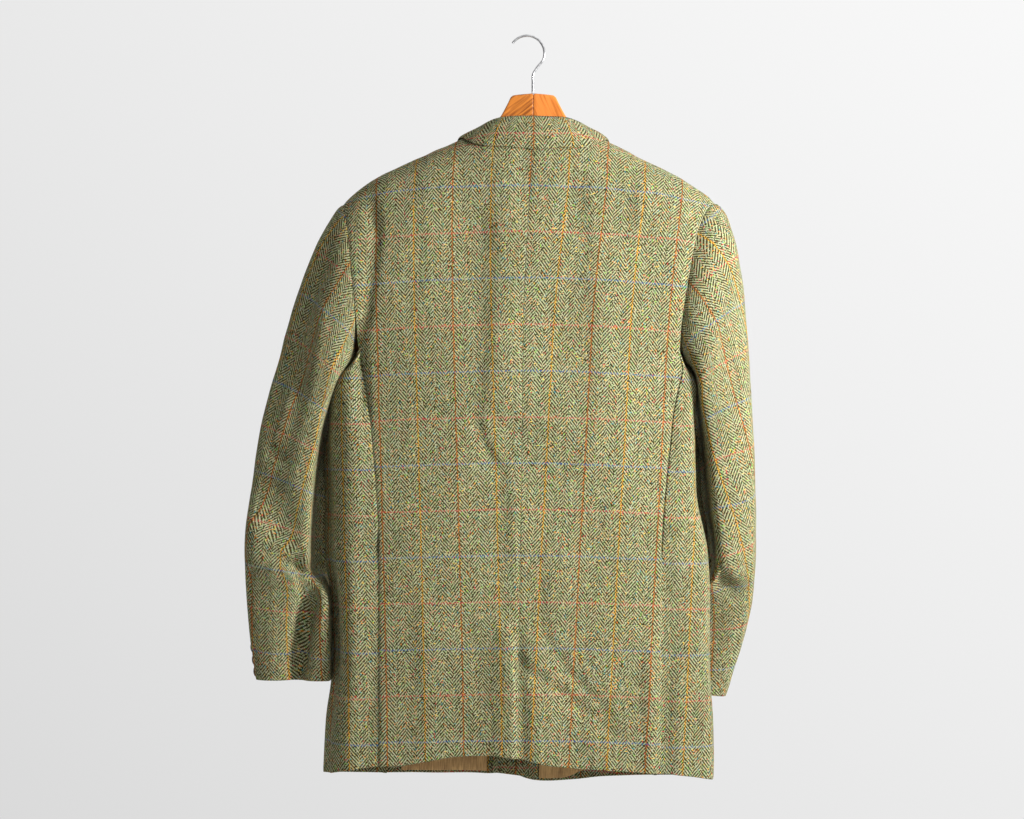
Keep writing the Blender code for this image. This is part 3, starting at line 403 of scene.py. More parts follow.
def neck_top(side, part):
    """Height of the back neck seam, or None past the neck."""
    if part >= NECK_PART:
        return None
    share = part / NECK_PART
    return NECK_BACK_Z + (ridge(side, NECK_PART) - NECK_BACK_Z) * share ** 2.2


def back_grid(side, columns):
    """Rows of points of one back panel."""
    parts = [i / (columns - 1) for i in range(columns)]
    hem_edge = hem_height("back", edge_x(side, BACK, -930))
    grid = []
    for part in parts:
        hem_x = body("centre", -930) + (edge_x(side, BACK, -930) - body("centre", -930)) * part
        hem = hem_height("back", hem_x)
        heights = column_heights(side, BACK, ridge(side, part), hem, hem_edge, neck_top(side, part))
        grid.append([panel_point(side, BACK, part, z) for z in heights])
    return pull_in(np.array(grid), top=SHOULDER_GAP)


def panel_point(side, face, part, z):
    centre = body("centre", z)
    x = centre + (edge_x(side, face, z) - centre) * part
    return (x, panel_y(side, face, x, z), z)


def pull_in(grid, gap=SEAM_GAP, inner=True, top=SEAM_GAP):
    """Leave half a seam gap along the seams of a grid[column][row]; gap may vary by row."""
    def shift(edge_points, next_points, width):
        away = next_points - edge_points
        length = np.linalg.norm(away, axis=1, keepdims=True)
        return edge_points + away / length * width / 2
    gaps = np.zeros((grid.shape[1], 1)) + np.reshape(gap, (-1, 1))
    if inner:
        grid[0] = shift(grid[0], grid[1], gaps)
    grid[-1] = shift(grid[-1], grid[-2], gaps)
    if top:
        grid[:, 0] = shift(grid[:, 0], grid[:, 1], top)
    return grid


def hem_height(face_name, x):
    return smooth(HEM["x"], HEM[face_name], x)


def roll_x(side, z):
    """The roll line above the top button, the front edge below it."""
    bottom = body("centre", ROLL_END_Z) + FRONT_EDGE[side]
    top = NECK_X + side * ROLL_TOP[0]
    share = np.clip((z - ROLL_END_Z) / (ROLL_TOP[1] - ROLL_END_Z), 0, 1)
    if z <= ROLL_END_Z:
        return body("centre", z) + FRONT_EDGE[side]
    return bottom + (top - bottom) * share ** ROLL_BOW[side]


def lap(side, x, z):
    """How far a front stands out or in where the fronts lap."""
    away = abs(x - body("centre", z))
    return LAP_OFFSET[side] * (1 - ramp(away, LAP_FULL, LAP_END)) * (1 - ramp(z, -350, -250))


def front_point(side, part, z):
    inner = roll_x(side, z)
    x = inner + (edge_x(side, FRONT, z) - inner) * part
    return (x, panel_y(side, FRONT, x, z) + lap(side, x, z), z)


def front_crest(side, part):
    """Height at which a column of the front meets the shoulder line."""
    z = NECK_BACK_Z
    for _ in range(20):
        x = front_point(side, part, z)[0]
        centre = body("centre", z)
        z = ridge(side, (x - centre) / (edge_x(side, FRONT, z) - centre))
    return z


def front_columns(columns):
    """Column places, closer together at the rounded front edge."""
    return [(i / (columns - 1)) ** 1.25 for i in range(columns)]


def front_grid(side, columns):
    """Rows of points of one front, up to its roll line."""
    hem_edge = hem_height("front", edge_x(side, FRONT, -950))
    grid = []
    for part in front_columns(columns):
        inner = roll_x(side, -940)
        hem_x = inner + (edge_x(side, FRONT, -950) - inner) * part
        out = abs(hem_x - inner)
        corner = max(0.0, 1 - out / CORNER[0])
        hem = hem_height("front", hem_x) + CORNER[1] * (1 - math.sqrt(1 - corner ** 2))
        top = ROLL_TOP[1] if part == 0 else None
        heights = column_heights(side, FRONT, front_crest(side, part), hem, hem_edge, top)
        grid.append([front_point(side, part, z) for z in heights])
    return pull_in(np.array(grid), inner=False, top=SHOULDER_GAP)


def side_grid(side, columns):
    """Rows of points of one side panel, from its back seam round to its front seam."""
    back_rows = edge_heights(side, BACK, hem_height("back", edge_x(side, BACK, -930)))[2:]
    front_rows = edge_heights(side, FRONT, hem_height("front", edge_x(side, FRONT, -950)))[2:]
    shares = [0.0, 0.035] + [(i + 1) / columns for i in range(columns)]
    grid = []
    for share in shares:
        turn = -90 + 180 * share
        start, end = SEAM_ANGLES[BACK], SEAM_ANGLES[FRONT]
        arc = armhole(side, start + (end - start) * share)
        column = []
        for zb, zf in zip(back_rows, front_rows):
            down = (back_rows[0] - zb) / (back_rows[0] - back_rows[-1])
            z = zb + (zf - zb) * share - SIDE_HEM_DROP * math.cos(math.radians(turn)) * down
            chord = back_rows[0] + (front_rows[0] - back_rows[0]) * share
            z += (arc[2] - chord) * (1 - ramp(down, 0.0, 0.25))
            column.append(flank_point(side, share, zb, zf, z, arc, down))
        grid.append(column)
    corner = 1 - ramp(np.linspace(0.0, 1.0, len(back_rows)), 0.0, 0.3)
    return pull_in(np.array(grid), SIDE_GAP + JOINT_GAP * corner)


def flank_point(side, share, zb, zf, z, arc, down):
    """Point of the side panel; below the vent's top its back edge runs under the back."""
    turn = -90 + 180 * share
    bulge, swing = rounded(turn)
    if side == RIGHT and turn < 0:
        swing = -abs(swing) ** 0.45
    edges = [np.array((edge_x(side, face, height), face * edge_depth(side, face, height)))
             for face, height in ((BACK, zb), (FRONT, zf))]
    joints = [armhole(side, SEAM_ANGLES[face])[:2] for face in (BACK, FRONT)]
    chord = edges[0] + (edges[1] - edges[0]) * share
    flank = body("flank_left" if side == LEFT else "flank_right", z)
    lean = FLANK_LEAN[side] * math.sin(math.radians(2 * turn)) if turn > 0 else 0.0
    lean *= ramp(-z, 470, 550) * (1 - (side == RIGHT) * ramp(-z, 630, 690))
    depth = abs(edges[0 if turn < 0 else 1][1])
    out = np.array((side * (flank * bulge + lean), depth * swing - chord[1]))
    arc_out = arc[:2] - joints[0] - (joints[1] - joints[0]) * share
    settle = 1 - ramp(down, 0.0, 0.06)
    x, y = chord + out * (1 - settle) + arc_out * settle
    y += VENT_TUCK * ramp(-z, -VENT_TOP - 32, -VENT_TOP - 12) * (1 - share) ** 2
    if share == 0:
        under = ramp(-z, -VENT_TOP, -VENT_TOP + 20)
        x -= side * VENT_UNDER * under
        y += (panel_y(side, BACK, x, zb) + VENT_TUCK - y) * under
    return (x, y, z)


def sleeve_row(side, ring):
    """All the columns of the sleeve table at a place between its rings."""
    rings = np.arange(len(SLEEVES[side]["depth"]))
    return {name: smooth(rings, SLEEVES[side][name], ring) for name in SLEEVE_COLUMNS}


def sleeve_point(side, ring, angle):
    """Point of a sleeve: angle 0 is its outer line, 90 its back, 180 its inner line."""
    row = sleeve_row(side, ring)
    c, s = squared(angle, 1 - ramp(ring, 0.0, 5.0))
    share = (1 - c) / 2
    x = row["outer_x"] + (row["inner_x"] - row["outer_x"]) * share
    z = row["outer_z"] + (row["inner_z"] - row["outer_z"]) * share
    a = ARMHOLES[side]
    scoop = (a["back_scoop"] if s > 0 else a["front_scoop"]) * (1 - ramp(ring, 0.0, 3.0))
    x -= side * scoop * abs(s)
    if s > 0:
        skew = smooth(SKEW["ring"], SKEW["left" if side == LEFT else "right"], ring)
        outer, inner = FLATTER[side]
        inner += 0.6 * (side == LEFT) * math.exp(-((ring - 10.6) / 0.9) ** 2)
        power = outer + (inner - outer) * ramp(share, 0.5, 0.95)
        s = s ** (1 + (power - 1) * ramp(ring, 0.0, 3.0))
        s *= (1 + skew * (share - 0.5)) * (1 - 0.22 * abs(skew))
    y = row["middle_y"] - row["depth"] * s
    middle_x = (row["outer_x"] + row["inner_x"]) / 2
    middle_z = (row["outer_z"] + row["inner_z"]) / 2
    shrink = 1 - fold_depth(side, ring, angle) / row["depth"]
    x = middle_x + (x - middle_x) * shrink
    z = middle_z + (z - middle_z) * (1 - (1 - shrink) * 0.3)
    y = row["middle_y"] + (y - row["middle_y"]) * shrink
    x -= side * row["lean"] * math.exp(-((angle % 360 - LEAN_ANGLE) / LEAN_WIDTH) ** 2)
    clear = smooth(SLEEVE_CLEAR["down"], SLEEVE_CLEAR["clear"], share)
    x += side * clear * (1 - ramp(ring, 0.0, 2.0))
    z += UNDERARM_LIFT * ramp(share, 0.7, 1.0) * (1 - ramp(ring, 0.0, 2.0))
    return (x, y, z)


def fold_depth(side, ring, angle):
    """How far the folds press the sleeve in."""
    depth = 0.0
    for fold in FOLDS:
        if fold["side"] != side:
            continue
        along = (ring - fold["ring_a"]) / (fold["ring_b"] - fold["ring_a"])
        if not 0 < along < 1.001:
            continue
        line = fold["angle_a"] + (fold["angle_b"] - fold["angle_a"]) * along
        fade = ramp(along, 0.0, 0.25) * (1 - ramp(along, 0.85, 1.15))
        depth += fold["depth"] * fade * math.exp(-((angle - line) / fold["width"]) ** 2)
    return depth


def sleeve_grid(side, piece, columns):
    """Rows of points of a top sleeve or an under sleeve."""
    rings = len(SLEEVES[side]["depth"]) - 1
    places = [ring / SLEEVE_STEPS for ring in range(0, rings * SLEEVE_STEPS + 1)]
    grid = []
    for i in range(columns):
        share = i / (columns - 1)
        column = []
        for ring in places:
            row = sleeve_row(side, ring)
            if piece == "under":
                angle = row["hind"] + (row["fore"] - row["hind"]) * share
            else:
                angle = row["fore"] - 360 + (row["hind"] - row["fore"] + 360) * share
            column.append(sleeve_point(side, ring, angle))
        grid.append(column)
    return pull_in(np.array(grid), SLEEVE_GAP, top=0.0)


def lapel_grid(side, columns, rows):
    """Points of a lapel: the front's own surface moved out, rolled at its inner edge."""
    grid = []
    for i in range(columns):
        across = i / (columns - 1)
        column = []
        for j in range(rows):
            down = j / (rows - 1)
            roll_z, edge_x, edge_z = (smooth(LAPEL["down"], LAPEL[n], down)
                                      for n in ("roll_z", "edge_x", "edge_z"))
            inner = roll_x(side, roll_z)
            x = inner + (NECK_X + side * edge_x - inner) * across
            z = roll_z + (edge_z - roll_z) * across
            lift = CLOTH + 0.5 + 6.0 * math.sin(math.pi * min(across * 1.6 + 0.02, 1)) ** 2 * (1 - down)
            lift += 1.2 * across
            column.append((x, panel_y(side, FRONT, x, z) + lap(side, x, z) + lift, z))
        grid.append(column)
    return np.array(grid)


def shoulder_point(side, out, turn, lift):
    """Point on the shoulder's rounding, lifted off it; turn is 0 on the shoulder line."""
    x = NECK_X + side * out
    face = BACK if turn >= 0 else FRONT
    centre, tip = body("centre", NECK_BACK_Z), ARMHOLES[side]["tip"][0]
    part = np.clip((x - centre) / (tip - centre), 0, 1)
    reach = ARMHOLES[side]["tip"][1] - mid_height(side)
    c, s = rounded(abs(turn))
    z = ridge(side, part) - reach * (1 - c)
    depth = body("back" if face == BACK else "front", z)
    depth += (ARMHOLES[side]["depth"] - depth) * part ** 3
    power = 2 / CROSS_POWER - 1
    normal = np.array((0.0, face * s ** power / depth, c ** power / reach))
    return np.array((x, face * depth * s, z)) + normal / np.linalg.norm(normal) * lift


def collar_grid(columns, stand_rows=3, fall_rows=5):
    """Points of the collar, from one gorge round the back to the other."""
    grid = []
    for i in range(columns):
        place = -1 + 2 * i / (columns - 1)
        side = LEFT if place < 0 else RIGHT
        row = {n: smooth(COLLAR["part"], COLLAR[n], abs(place)) for n in COLLAR_COLUMNS}
        seam, fold = (np.array((NECK_X + side * row[n + "_x"], row[n + "_y"], row[n + "_z"]))
                      for n in ("seam", "fold"))
        leaf = shoulder_point(side, row["leaf_x"], row["leaf_turn"], COLLAR_LIFT)
        column = []
        for j in range(stand_rows):
            column.append(seam + (fold - seam) * (j / stand_rows))
        outward = np.array((leaf[0] - fold[0], leaf[1] - fold[1], 0.0))
        outward /= np.linalg.norm(outward)
        for j in range(fall_rows + 1):
            share = j / fall_rows
            roll = 4.0 * math.sin(math.pi * share) ** 0.8 if 0 < share < 1 else 0.0
            column.append(fold + (leaf - fold) * share + outward * roll)
        grid.append(column)
    return np.array(grid)


def patch_grid(side, corners, columns, rows, lift):
    """Points of a flap or welt, made from the front's surface moved out.

    corners are the upper inner, upper outer, lower inner and lower outer points, as
    distances from the centre line and heights.
    """
    grid = []
    for i in range(columns):
        across = i / (columns - 1)
        column = []
        for j in range(rows):
            down = j / (rows - 1)
            upper = np.array(corners[0]) * (1 - across) + np.array(corners[1]) * across
            lower = np.array(corners[2]) * (1 - across) + np.array(corners[3]) * across
            out, z = upper * (1 - down) + lower * down
            x = body("centre", z) + side * out
            column.append((x, panel_y(side, FRONT, x, z) + lap(side, x, z) + lift, z))
        grid.append(column)
    return np.array(grid)


def front_lining(side, out_from, out_to, columns, lift):
    """Part of a front's inner side near the hem, moved in by lift."""
    rows = (-760.0, -800.0, -840.0, -880.0, -915.0, -945.0)
    grid = []
    for i in range(columns):
        out = out_from + (out_to - out_from) * i / (columns - 1)
        column = []
        for z in rows:
            x = body("centre", z) + out
            hem = hem_height("front", x)
            low = z if z > rows[-1] else hem + 3.5 + 8.0 * (side == RIGHT) * ramp(out, 62.0, 92.0)
            column.append((x, panel_y(side, FRONT, x, low) + lap(side, x, low) - lift, low))
        grid.append(column)
    return np.array(grid)


# Fine mesh
STEP = 4.0                        # spacing of its columns and rows
NEAR_EDGE = (0.0, 1.2, 2.4, 4.0)  # closer ones beside an edge, where a seam rolls in
ROLL_WIDTH = 3.0                  # how far from the edge a seam rolls in
RIM_INSET = 0.6                   # rounding of a cloth edge
TURNING = 38.0                    # width of the tweed turned in at hems and fronts

# Weave: the overcheck's spacings, and how many threads lie between two of its lines
STRIPE, LINE = 48.5, 58.27
STRIPE_ENDS, LINE_PICKS, COLUMN_ENDS = 48, 48, 12
FIRST_LINE = -198.9               # height of a blue line at the centre back
UV_NAME = "cut"

# What the centre back seam takes in on each side, and how far the lines droop at the sides
TAKE_COLUMNS = ("z", "take")
TAKE_ROWS = ((-970, 32.0), (-899, 30.0), (-731, 24.0), (-584, 18.0), (-359, 9.0), (-200, 0.0))
DROOP = {LEFT: 9.0, RIGHT: 11.5}
DROOP_X = 220.0
SLEEVE_TURN = {LEFT: 0.12, RIGHT: 0.25}      # how far the cloth is turned on the sleeve
SLEEVE_LINE = {LEFT: 125.0, RIGHT: 122.8}    # a blue line, down from the shoulder tip
SLEEVE_STRIPE = {LEFT: 84.0, RIGHT: 111.5}   # a stripe, round from the sleeve's outer line

# Creases, one row each: the face they lie on, depth (a ridge has a negative one), how wide
# they are on each side of the path they follow, and that path as (x, z)
CREASE_COLUMNS = ("face", "depth", "left", "right", "path")
CREASE_ROWS = (
    (BACK, -2.5, 15.0, 60.0, ((-30, -150), (-32, -265))),
    (BACK, -7.5, 17.0, 90.0, ((-31, -212), (-32, -300), (-33, -400), (-40, -474), (-50, -500))),
    (BACK, -2.2, 8.0, 40.0, ((-58, -470), (-54, -505), (-30, -542), (-17, -585), (-14, -700), (-10, -770))),
    (BACK, 5.5, 10.0, 9.0, ((-201, -190), (-191, -261), (-201, -348), (-213, -387), (-211, -460),
                             (-204, -510))),
    (BACK, 3.5, 8.0, 8.0, ((-66, -465), (-62, -500), (-50, -535), (-24, -568))),
    (BACK, -3.0, 9.0, 9.0, ((-290, -430), (-306, -480), (-320, -530))),
    (BACK, 1.6, 8.0, 6.0, ((-4, -120), (-6, -200), (-10, -275))),
    (BACK, -2.6, 12.0, 40.0, ((-124, -158), (-123, -440))),
    (BACK, -4.2, 15.0, 45.0, ((86, -170), (90, -300), (91, -440), (84, -500), (80, -580))),
    (BACK, -2.6, 9.0, 25.0, ((142, -172), (141, -272))),
    (BACK, 3.2, 9.0, 6.0, ((226, -222), (207, -300), (198, -350), (200, -410))),
    (BACK, -3.0, 9.0, 30.0, ((243, -230), (226, -310), (216, -360), (219, -430), (230, -520))),
    (BACK, 5.0, 14.0, 12.0, ((-246, -262), (-262, -310), (-282, -367), (-292, -490))),
    (BACK, 3.5, 12.0, 9.0, ((-296, -305), (-308, -345), (-330, -440))),
    (BACK, -2.0, 16.0, 8.0, ((-256, -330), (-266, -434), (-290, -527), (-300, -607))),
    (BACK, 3.0, 8.0, 8.0, ((-345, -526), (-325, -534), (-296, -552))),
    (BACK, 2.2, 8.0, 7.0, ((-340, -566), (-322, -578), (-300, -580))),
    (BACK, 17.0, 9.0, 10.0, ((-268, -690), (-276, -715), (-288, -760), (-295, -800), (-299, -850))),
    (BACK, -3.0, 14.0, 12.0, ((-224, -425), (-221, -600), (-221, -940))),
    (BACK, -8.0, 22.0, 7.0, ((-24, -730), (-20, -790), (-19, -940))),
    (BACK, -5.0, 9.0, 38.0, ((-3, -740), (4, -800), (8, -940))),
    (BACK, -2.0, 16.0, 30.0, ((-14, -560), (-16, -700))),
    (BACK, 3.6, 11.0, 7.0, ((-34, -770), (0, -808), (58, -848), (140, -914))),
    (BACK, 3.0, 9.0, 6.0, ((10, -745), (46, -803), (128, -892))),
    (BACK, -2.4, 8.0, 30.0, ((30, -600), (33, -800))),
    (BACK, -3.5, 9.0, 12.0, ((155, -780), (155, -945))),
    (BACK, -3.0, 10.0, 14.0, ((190, -780), (190, -945))),
    (BACK, 1.8, 7.0, 7.0, ((164, -706), (182, -714), (200, -724))),
    (BACK, -3.0, 25.0, 14.0, ((190, -580), (190, -730))),
    (BACK, -2.0, 12.0, 30.0, ((-130, -700), (-128, -940))),
    (BACK, 7.0, 8.0, 20.0, ((226, -650), (243, -694), (261, -718), (294, -734))),
    (BACK, -3.5, 10.0, 10.0, ((246, -655), (262, -690), (290, -706))),
    (FRONT, 2.4, 22.0, 22.0, ((-120, -390), (-112, -480), (-104, -600))),
    (FRONT, 2.2, 20.0, 20.0, ((118, -380), (108, -470), (98, -580))),
    (FRONT, 2.4, 12.0, 12.0, ((30, -480), (80, -520), (140, -538))),
    (FRONT, 2.4, 12.0, 12.0, ((-50, -482), (-95, -515), (-150, -530))),
    (FRONT, -2.2, 16.0, 16.0, ((-150, -700), (-146, -950))),
    (FRONT, 2.0, 14.0, 14.0, ((130, -690), (126, -950))),
    (FRONT, 3.4, 12.0, 12.0, ((-176, -230), (-186, -310), (-190, -380))),
    (FRONT, 3.4, 12.0, 12.0, ((172, -230), (178, -310), (180, -380))),
    (FRONT, 4.0, 10.0, 10.0, ((-350, -586), (-310, -602), (-280, -588))),
    (FRONT, 4.0, 10.0, 10.0, ((296, -596), (262, -615), (240, -598))),
    (FRONT, 3.0, 9.0, 9.0, ((296, -646), (262, -668), (240, -652))),
)
CREASES = [dict(zip(CREASE_COLUMNS, row)) for row in CREASE_ROWS]
CREASE_END = 45.0      # length over which a crease dies away

# Light swells of the cloth: size across, size down, height and the noise's seed
SWELLS = ((62.0, 220.0, 2.0, 3), (30.0, 100.0, 1.2, 4), (13.0, 36.0, 0.5, 5))

# Camera and light, in metres
CAMERA = (-0.0193, -2.5, -0.4797)
LENS, SENSOR = 68.25, 36.0
KEY_PLACE, KEY_AIM, KEY_SIZE, KEY_POWER = (1.62, -1.06, -0.1), (0.05, 0.0, -0.4), 0.5, 20.6
KEY_SPREAD = 88.0                 # degrees
WORLD_LEVEL, WORLD_AHEAD, WORLD_TO_RIGHT, WORLD_TURN = 0.68, 0.15, 0.40, -0.15
WORLD_UP = 0.28
FLOOR_Z, FLOOR_RADIUS = -1.9, 3.0

sleeve_row = functools.lru_cache(None)(sleeve_row)


# Cut of each piece: across and down coordinates of the cloth, in millimetres

def down_from(grid, z_line):
    """Length down each column of a grid, 0 where the column crosses the height z_line."""
    steps = np.linalg.norm(np.diff(grid, axis=1), axis=2)
    down = np.concatenate((np.zeros((len(grid), 1)), np.cumsum(steps, axis=1)), axis=1)
    for column, heights in zip(down, grid[..., 2]):
        column -= np.interp(-z_line, -heights, column)
    return down


def with_cut(grid, across, up):
    """The grid with its cloth coordinates as a fourth and fifth value."""
    return np.dstack((grid, across, up))


def body_cut(grid, side, shift=0.0, take=True):
    """Cloth coordinates of a back or a front."""
    x, z = grid[..., 0], grid[..., 2]
    out = side * (x - body("centre", z)) + shift
    if take:
        out += smooth(TAKE["z"], TAKE["take"], z)
    droop = DROOP[side] * (np.clip(out, 0, None) / DROOP_X) ** 2
    line = -300.0
    return with_cut(grid, side * out, line - down_from(grid, line) + droop)


def flank_cut(grid, side):
    """Cloth coordinates of a side panel, going on from the back's outer edge."""
    steps = np.linalg.norm(np.diff(grid, axis=0), axis=2)
    around = np.concatenate((np.zeros((1, grid.shape[1])), np.cumsum(steps, axis=0)))
    x, z = grid[0, :, 0], grid[..., 2]
    start = side * (x - body("centre", grid[0, :, 2])) + smooth(TAKE["z"], TAKE["take"], grid[0, :, 2])
    return with_cut(grid, side * (start + around), z + DROOP[side])


TAKE = table(TAKE_COLUMNS, TAKE_ROWS)
TURN_STEP = 8


def sleeve_turns(side):
    """The whole sleeve as grid[angle][ring], with the cloth's own coordinates.

    The cloth is unrolled across and along the sleeve's outer line, then turned a little.
    """
    angles = np.arange(-168, 241, TURN_STEP)
    rings = np.arange(0, (len(SLEEVES[side]["depth"]) - 1) * SLEEVE_STEPS + 1) / SLEEVE_STEPS
    grid = np.array([[sleeve_point(side, ring, angle) for ring in rings] for angle in angles])
    outer = np.array([[sleeve_row(side, ring)[name] for name in ("outer_x", "middle_y", "outer_z")]
                      for ring in rings])
    index = np.arange(len(rings))
    way = unit(outer[np.minimum(index + 6, index[-1])] - outer[np.maximum(index - 6, 0)])
    advance = np.sum(np.diff(outer, axis=0) * unit(way[1:] + way[:-1]), axis=1)
    along = np.concatenate(([0.0], np.cumsum(advance))) + np.sum((grid - outer) * way, axis=-1)
    steps = np.diff(grid, axis=0)
    steps = steps - np.sum(steps * way, axis=-1, keepdims=True) * way
    around = np.concatenate((np.zeros((1, len(rings))), np.cumsum(np.linalg.norm(steps, axis=2), axis=0)))
    around -= around[np.searchsorted(angles, 0)]
    c, s = math.cos(SLEEVE_TURN[side]), math.sin(SLEEVE_TURN[side])
    across = -side * (around * c + along * s - SLEEVE_STRIPE[side])
    return angles, rings, with_cut(grid, across, FIRST_LINE + SLEEVE_LINE[side] - along * c + around * s)


def sleeve_piece(side, piece, columns, turns):
    """Top or under sleeve, cut out of the whole sleeve."""
    angles, rings, grid = turns
    columns_out = []
    for j, ring in enumerate(rings):
        row = sleeve_row(side, ring)
        if piece == "under":
            wanted = np.linspace(row["hind"], row["fore"], columns)
        else:
            wanted = np.linspace(row["fore"] - 360, row["hind"], columns)
        columns_out.append(resample(grid[:, j:j + 1], angles.astype(float), wanted)[:, 0])
    made = np.array(columns_out).transpose(1, 0, 2)
    made[..., :3] = pull_in(made[..., :3].copy(), SLEEVE_GAP, top=0.0)
    return made


# Fine surfaces

def resample(points, old, new):
    """Cubic through points[k], which lie at the places old[k], read at the places new."""
    rate = np.gradient(points, old, axis=0)
    i = np.clip(np.searchsorted(old, new, side="right") - 1, 0, len(old) - 2)
    step = np.diff(old)[i][:, None, None]
    t = (new - old[i])[:, None, None] / step
    keep = (1 + 2 * t) * (1 - t) ** 2
    return (keep * points[i] + t * (1 - t) ** 2 * step * rate[i]
            + (1 - keep) * points[i + 1] + t * t * (t - 1) * step * rate[i + 1])


def places(length, spacing):
    """Places along an edge, closer together beside both of its ends."""
    near = np.array(NEAR_EDGE)
    start = near[-1] + (near[-1] - near[-2]) * 1.4
    count = max(2, round((length - 2 * start) / spacing) + 1)
    return np.concatenate((near, np.linspace(start, length - start, count), length - near[::-1]))


def refine(grid, spacing):
    """The grid with fine columns and rows, and the places of both in millimetres."""
    lines = []
    for axis in (0, 1):
        turned = np.swapaxes(grid, 0, axis)
        steps = np.linalg.norm(np.diff(turned[..., :3], axis=0), axis=2).mean(axis=1)
        old = np.concatenate(([0.0], np.cumsum(steps)))
        lines.append(places(old[-1], spacing))
        grid = np.swapaxes(resample(turned, old, lines[-1]), 0, axis)
    return grid, lines[0], lines[1]


def unit(vectors):
    return vectors / np.maximum(np.linalg.norm(vectors, axis=-1, keepdims=True), 1e-9)


def surface_normals(points):
    return unit(np.cross(np.gradient(points, axis=0), np.gradient(points, axis=1)))


def swell(points, across, down, seed):
    """Smooth noise from -1 to 1, the same on every piece at the same spot."""
    size = 16
    lattice = np.random.default_rng(seed).uniform(-1, 1, (size, size, size))
    place = points / (across, across, down) + 4 * size
    cell = np.floor(place).astype(int)
    t = place - cell
    t = t * t * (3 - 2 * t)
    total = np.zeros(points.shape[:-1])
    for corner in np.ndindex(2, 2, 2):
        weight = np.prod(np.where(corner, t, 1 - t), axis=-1)
        i, j, k = np.moveaxis((cell + corner) % size, -1, 0)
        total += weight * lattice[i, j, k]
    return total


def crease_height(points, normal, crease):
    """Height that one crease gives the surface, which may fall off quicker on one side."""
    here = points[..., (0, 2)]
    path = np.array(crease["path"], float)
    lengths = np.linalg.norm(np.diff(path, axis=0), axis=1)
    away = np.full(here.shape[:-1], np.inf)
    along, beside = np.zeros_like(away), np.zeros_like(away)
    done = 0.0
    for start, end, length in zip(path[:-1], path[1:], lengths):
        step = (end - start) / length
        t = np.clip((here - start) @ step, 0, length)
        off = here - start - t[..., None] * step
        gap = np.linalg.norm(off, axis=-1)
        nearer = gap < away
        along = np.where(nearer, done + t, along)
        beside = np.where(nearer, step[0] * off[..., 1] - step[1] * off[..., 0], beside)
        away = np.minimum(away, gap)
        done += length
    end = min(CREASE_END, 0.4 * done)
    fade = ramp(along, 0.0, end)
    if path[-1][1] > -930:
        fade = fade * (1 - ramp(along, done - end, done))
    shape = -np.exp(-(away / np.where(beside < 0, crease["left"], crease["right"])) ** 2)
    return crease["depth"] * shape * fade * np.clip(crease["face"] * normal[..., 1] * 1.6, 0, 1)


def relief(points, normal, amount):
    """Height of creases and swells."""
    height = sum(crease_height(points, normal, crease) for crease in CREASES)
    for across, down, size, seed in SWELLS:
        height = height + amount * size * swell(points, across, down, seed)
    return height


def edge_roll(across, down, depths):
    """How far the four edges of a piece are rolled in, from where its columns and rows lie."""
    first, last, top, bottom = depths
    def near(distance, depth):
        return depth * np.exp(-(distance / ROLL_WIDTH) ** 2)
    over = near(across, first) + near(across[-1] - across, last)
    along = near(down, top) + near(down[-1] - down, bottom)
    return np.maximum(over[:, None], along[None, :])


def add_lips(points, uv, out, places_of, lips):
    """Seam allowances: past an edge the cloth steps in and runs on under its neighbour."""
    places_of = list(places_of)
    for axis in (0, 1):
        for last in (False, True):
            width = lips[2 * axis + last]
            if not width:
                continue
            points, uv, out = (np.swapaxes(values, 0, axis) for values in (points, uv, out))
            edge, inner = (-1, -3) if last else (0, 2)
            away, uv_away = unit(points[edge] - points[inner]), unit(uv[edge] - uv[inner])
            steps = ((0.7, 0.9), (1.3, 2.0), (width, 2.3))
            extra = [[first[edge] + way * beyond - normal * deep for beyond, deep in steps]
                     for first, way, normal in ((points, away, out[edge]), (uv, uv_away, 0.0),
                                                (out, 0.0 * away, 0.0))]
            beyond = np.array([step[0] for step in steps])
            if last:
                points, uv, out = (np.concatenate((old, new)) for old, new in zip((points, uv, out), extra))
                places_of[axis] = np.concatenate((places_of[axis], places_of[axis][-1] + beyond))
            else:
                points, uv, out = (np.concatenate((new[::-1], old)) for old, new in zip((points, uv, out), extra))
                places_of[axis] = np.concatenate((-beyond[::-1], places_of[axis]))
            points, uv, out = (np.swapaxes(values, 0, axis) for values in (points, uv, out))
    return points, uv, places_of


def border(columns, rows):
    """Indices of a grid's border as pairs, once round."""
    return ([(i, 0) for i in range(columns - 1)] + [(columns - 1, j) for j in range(rows - 1)]
            + [(i, rows - 1) for i in range(columns - 1, 0, -1)] + [(0, j) for j in range(rows - 1, 0, -1)])


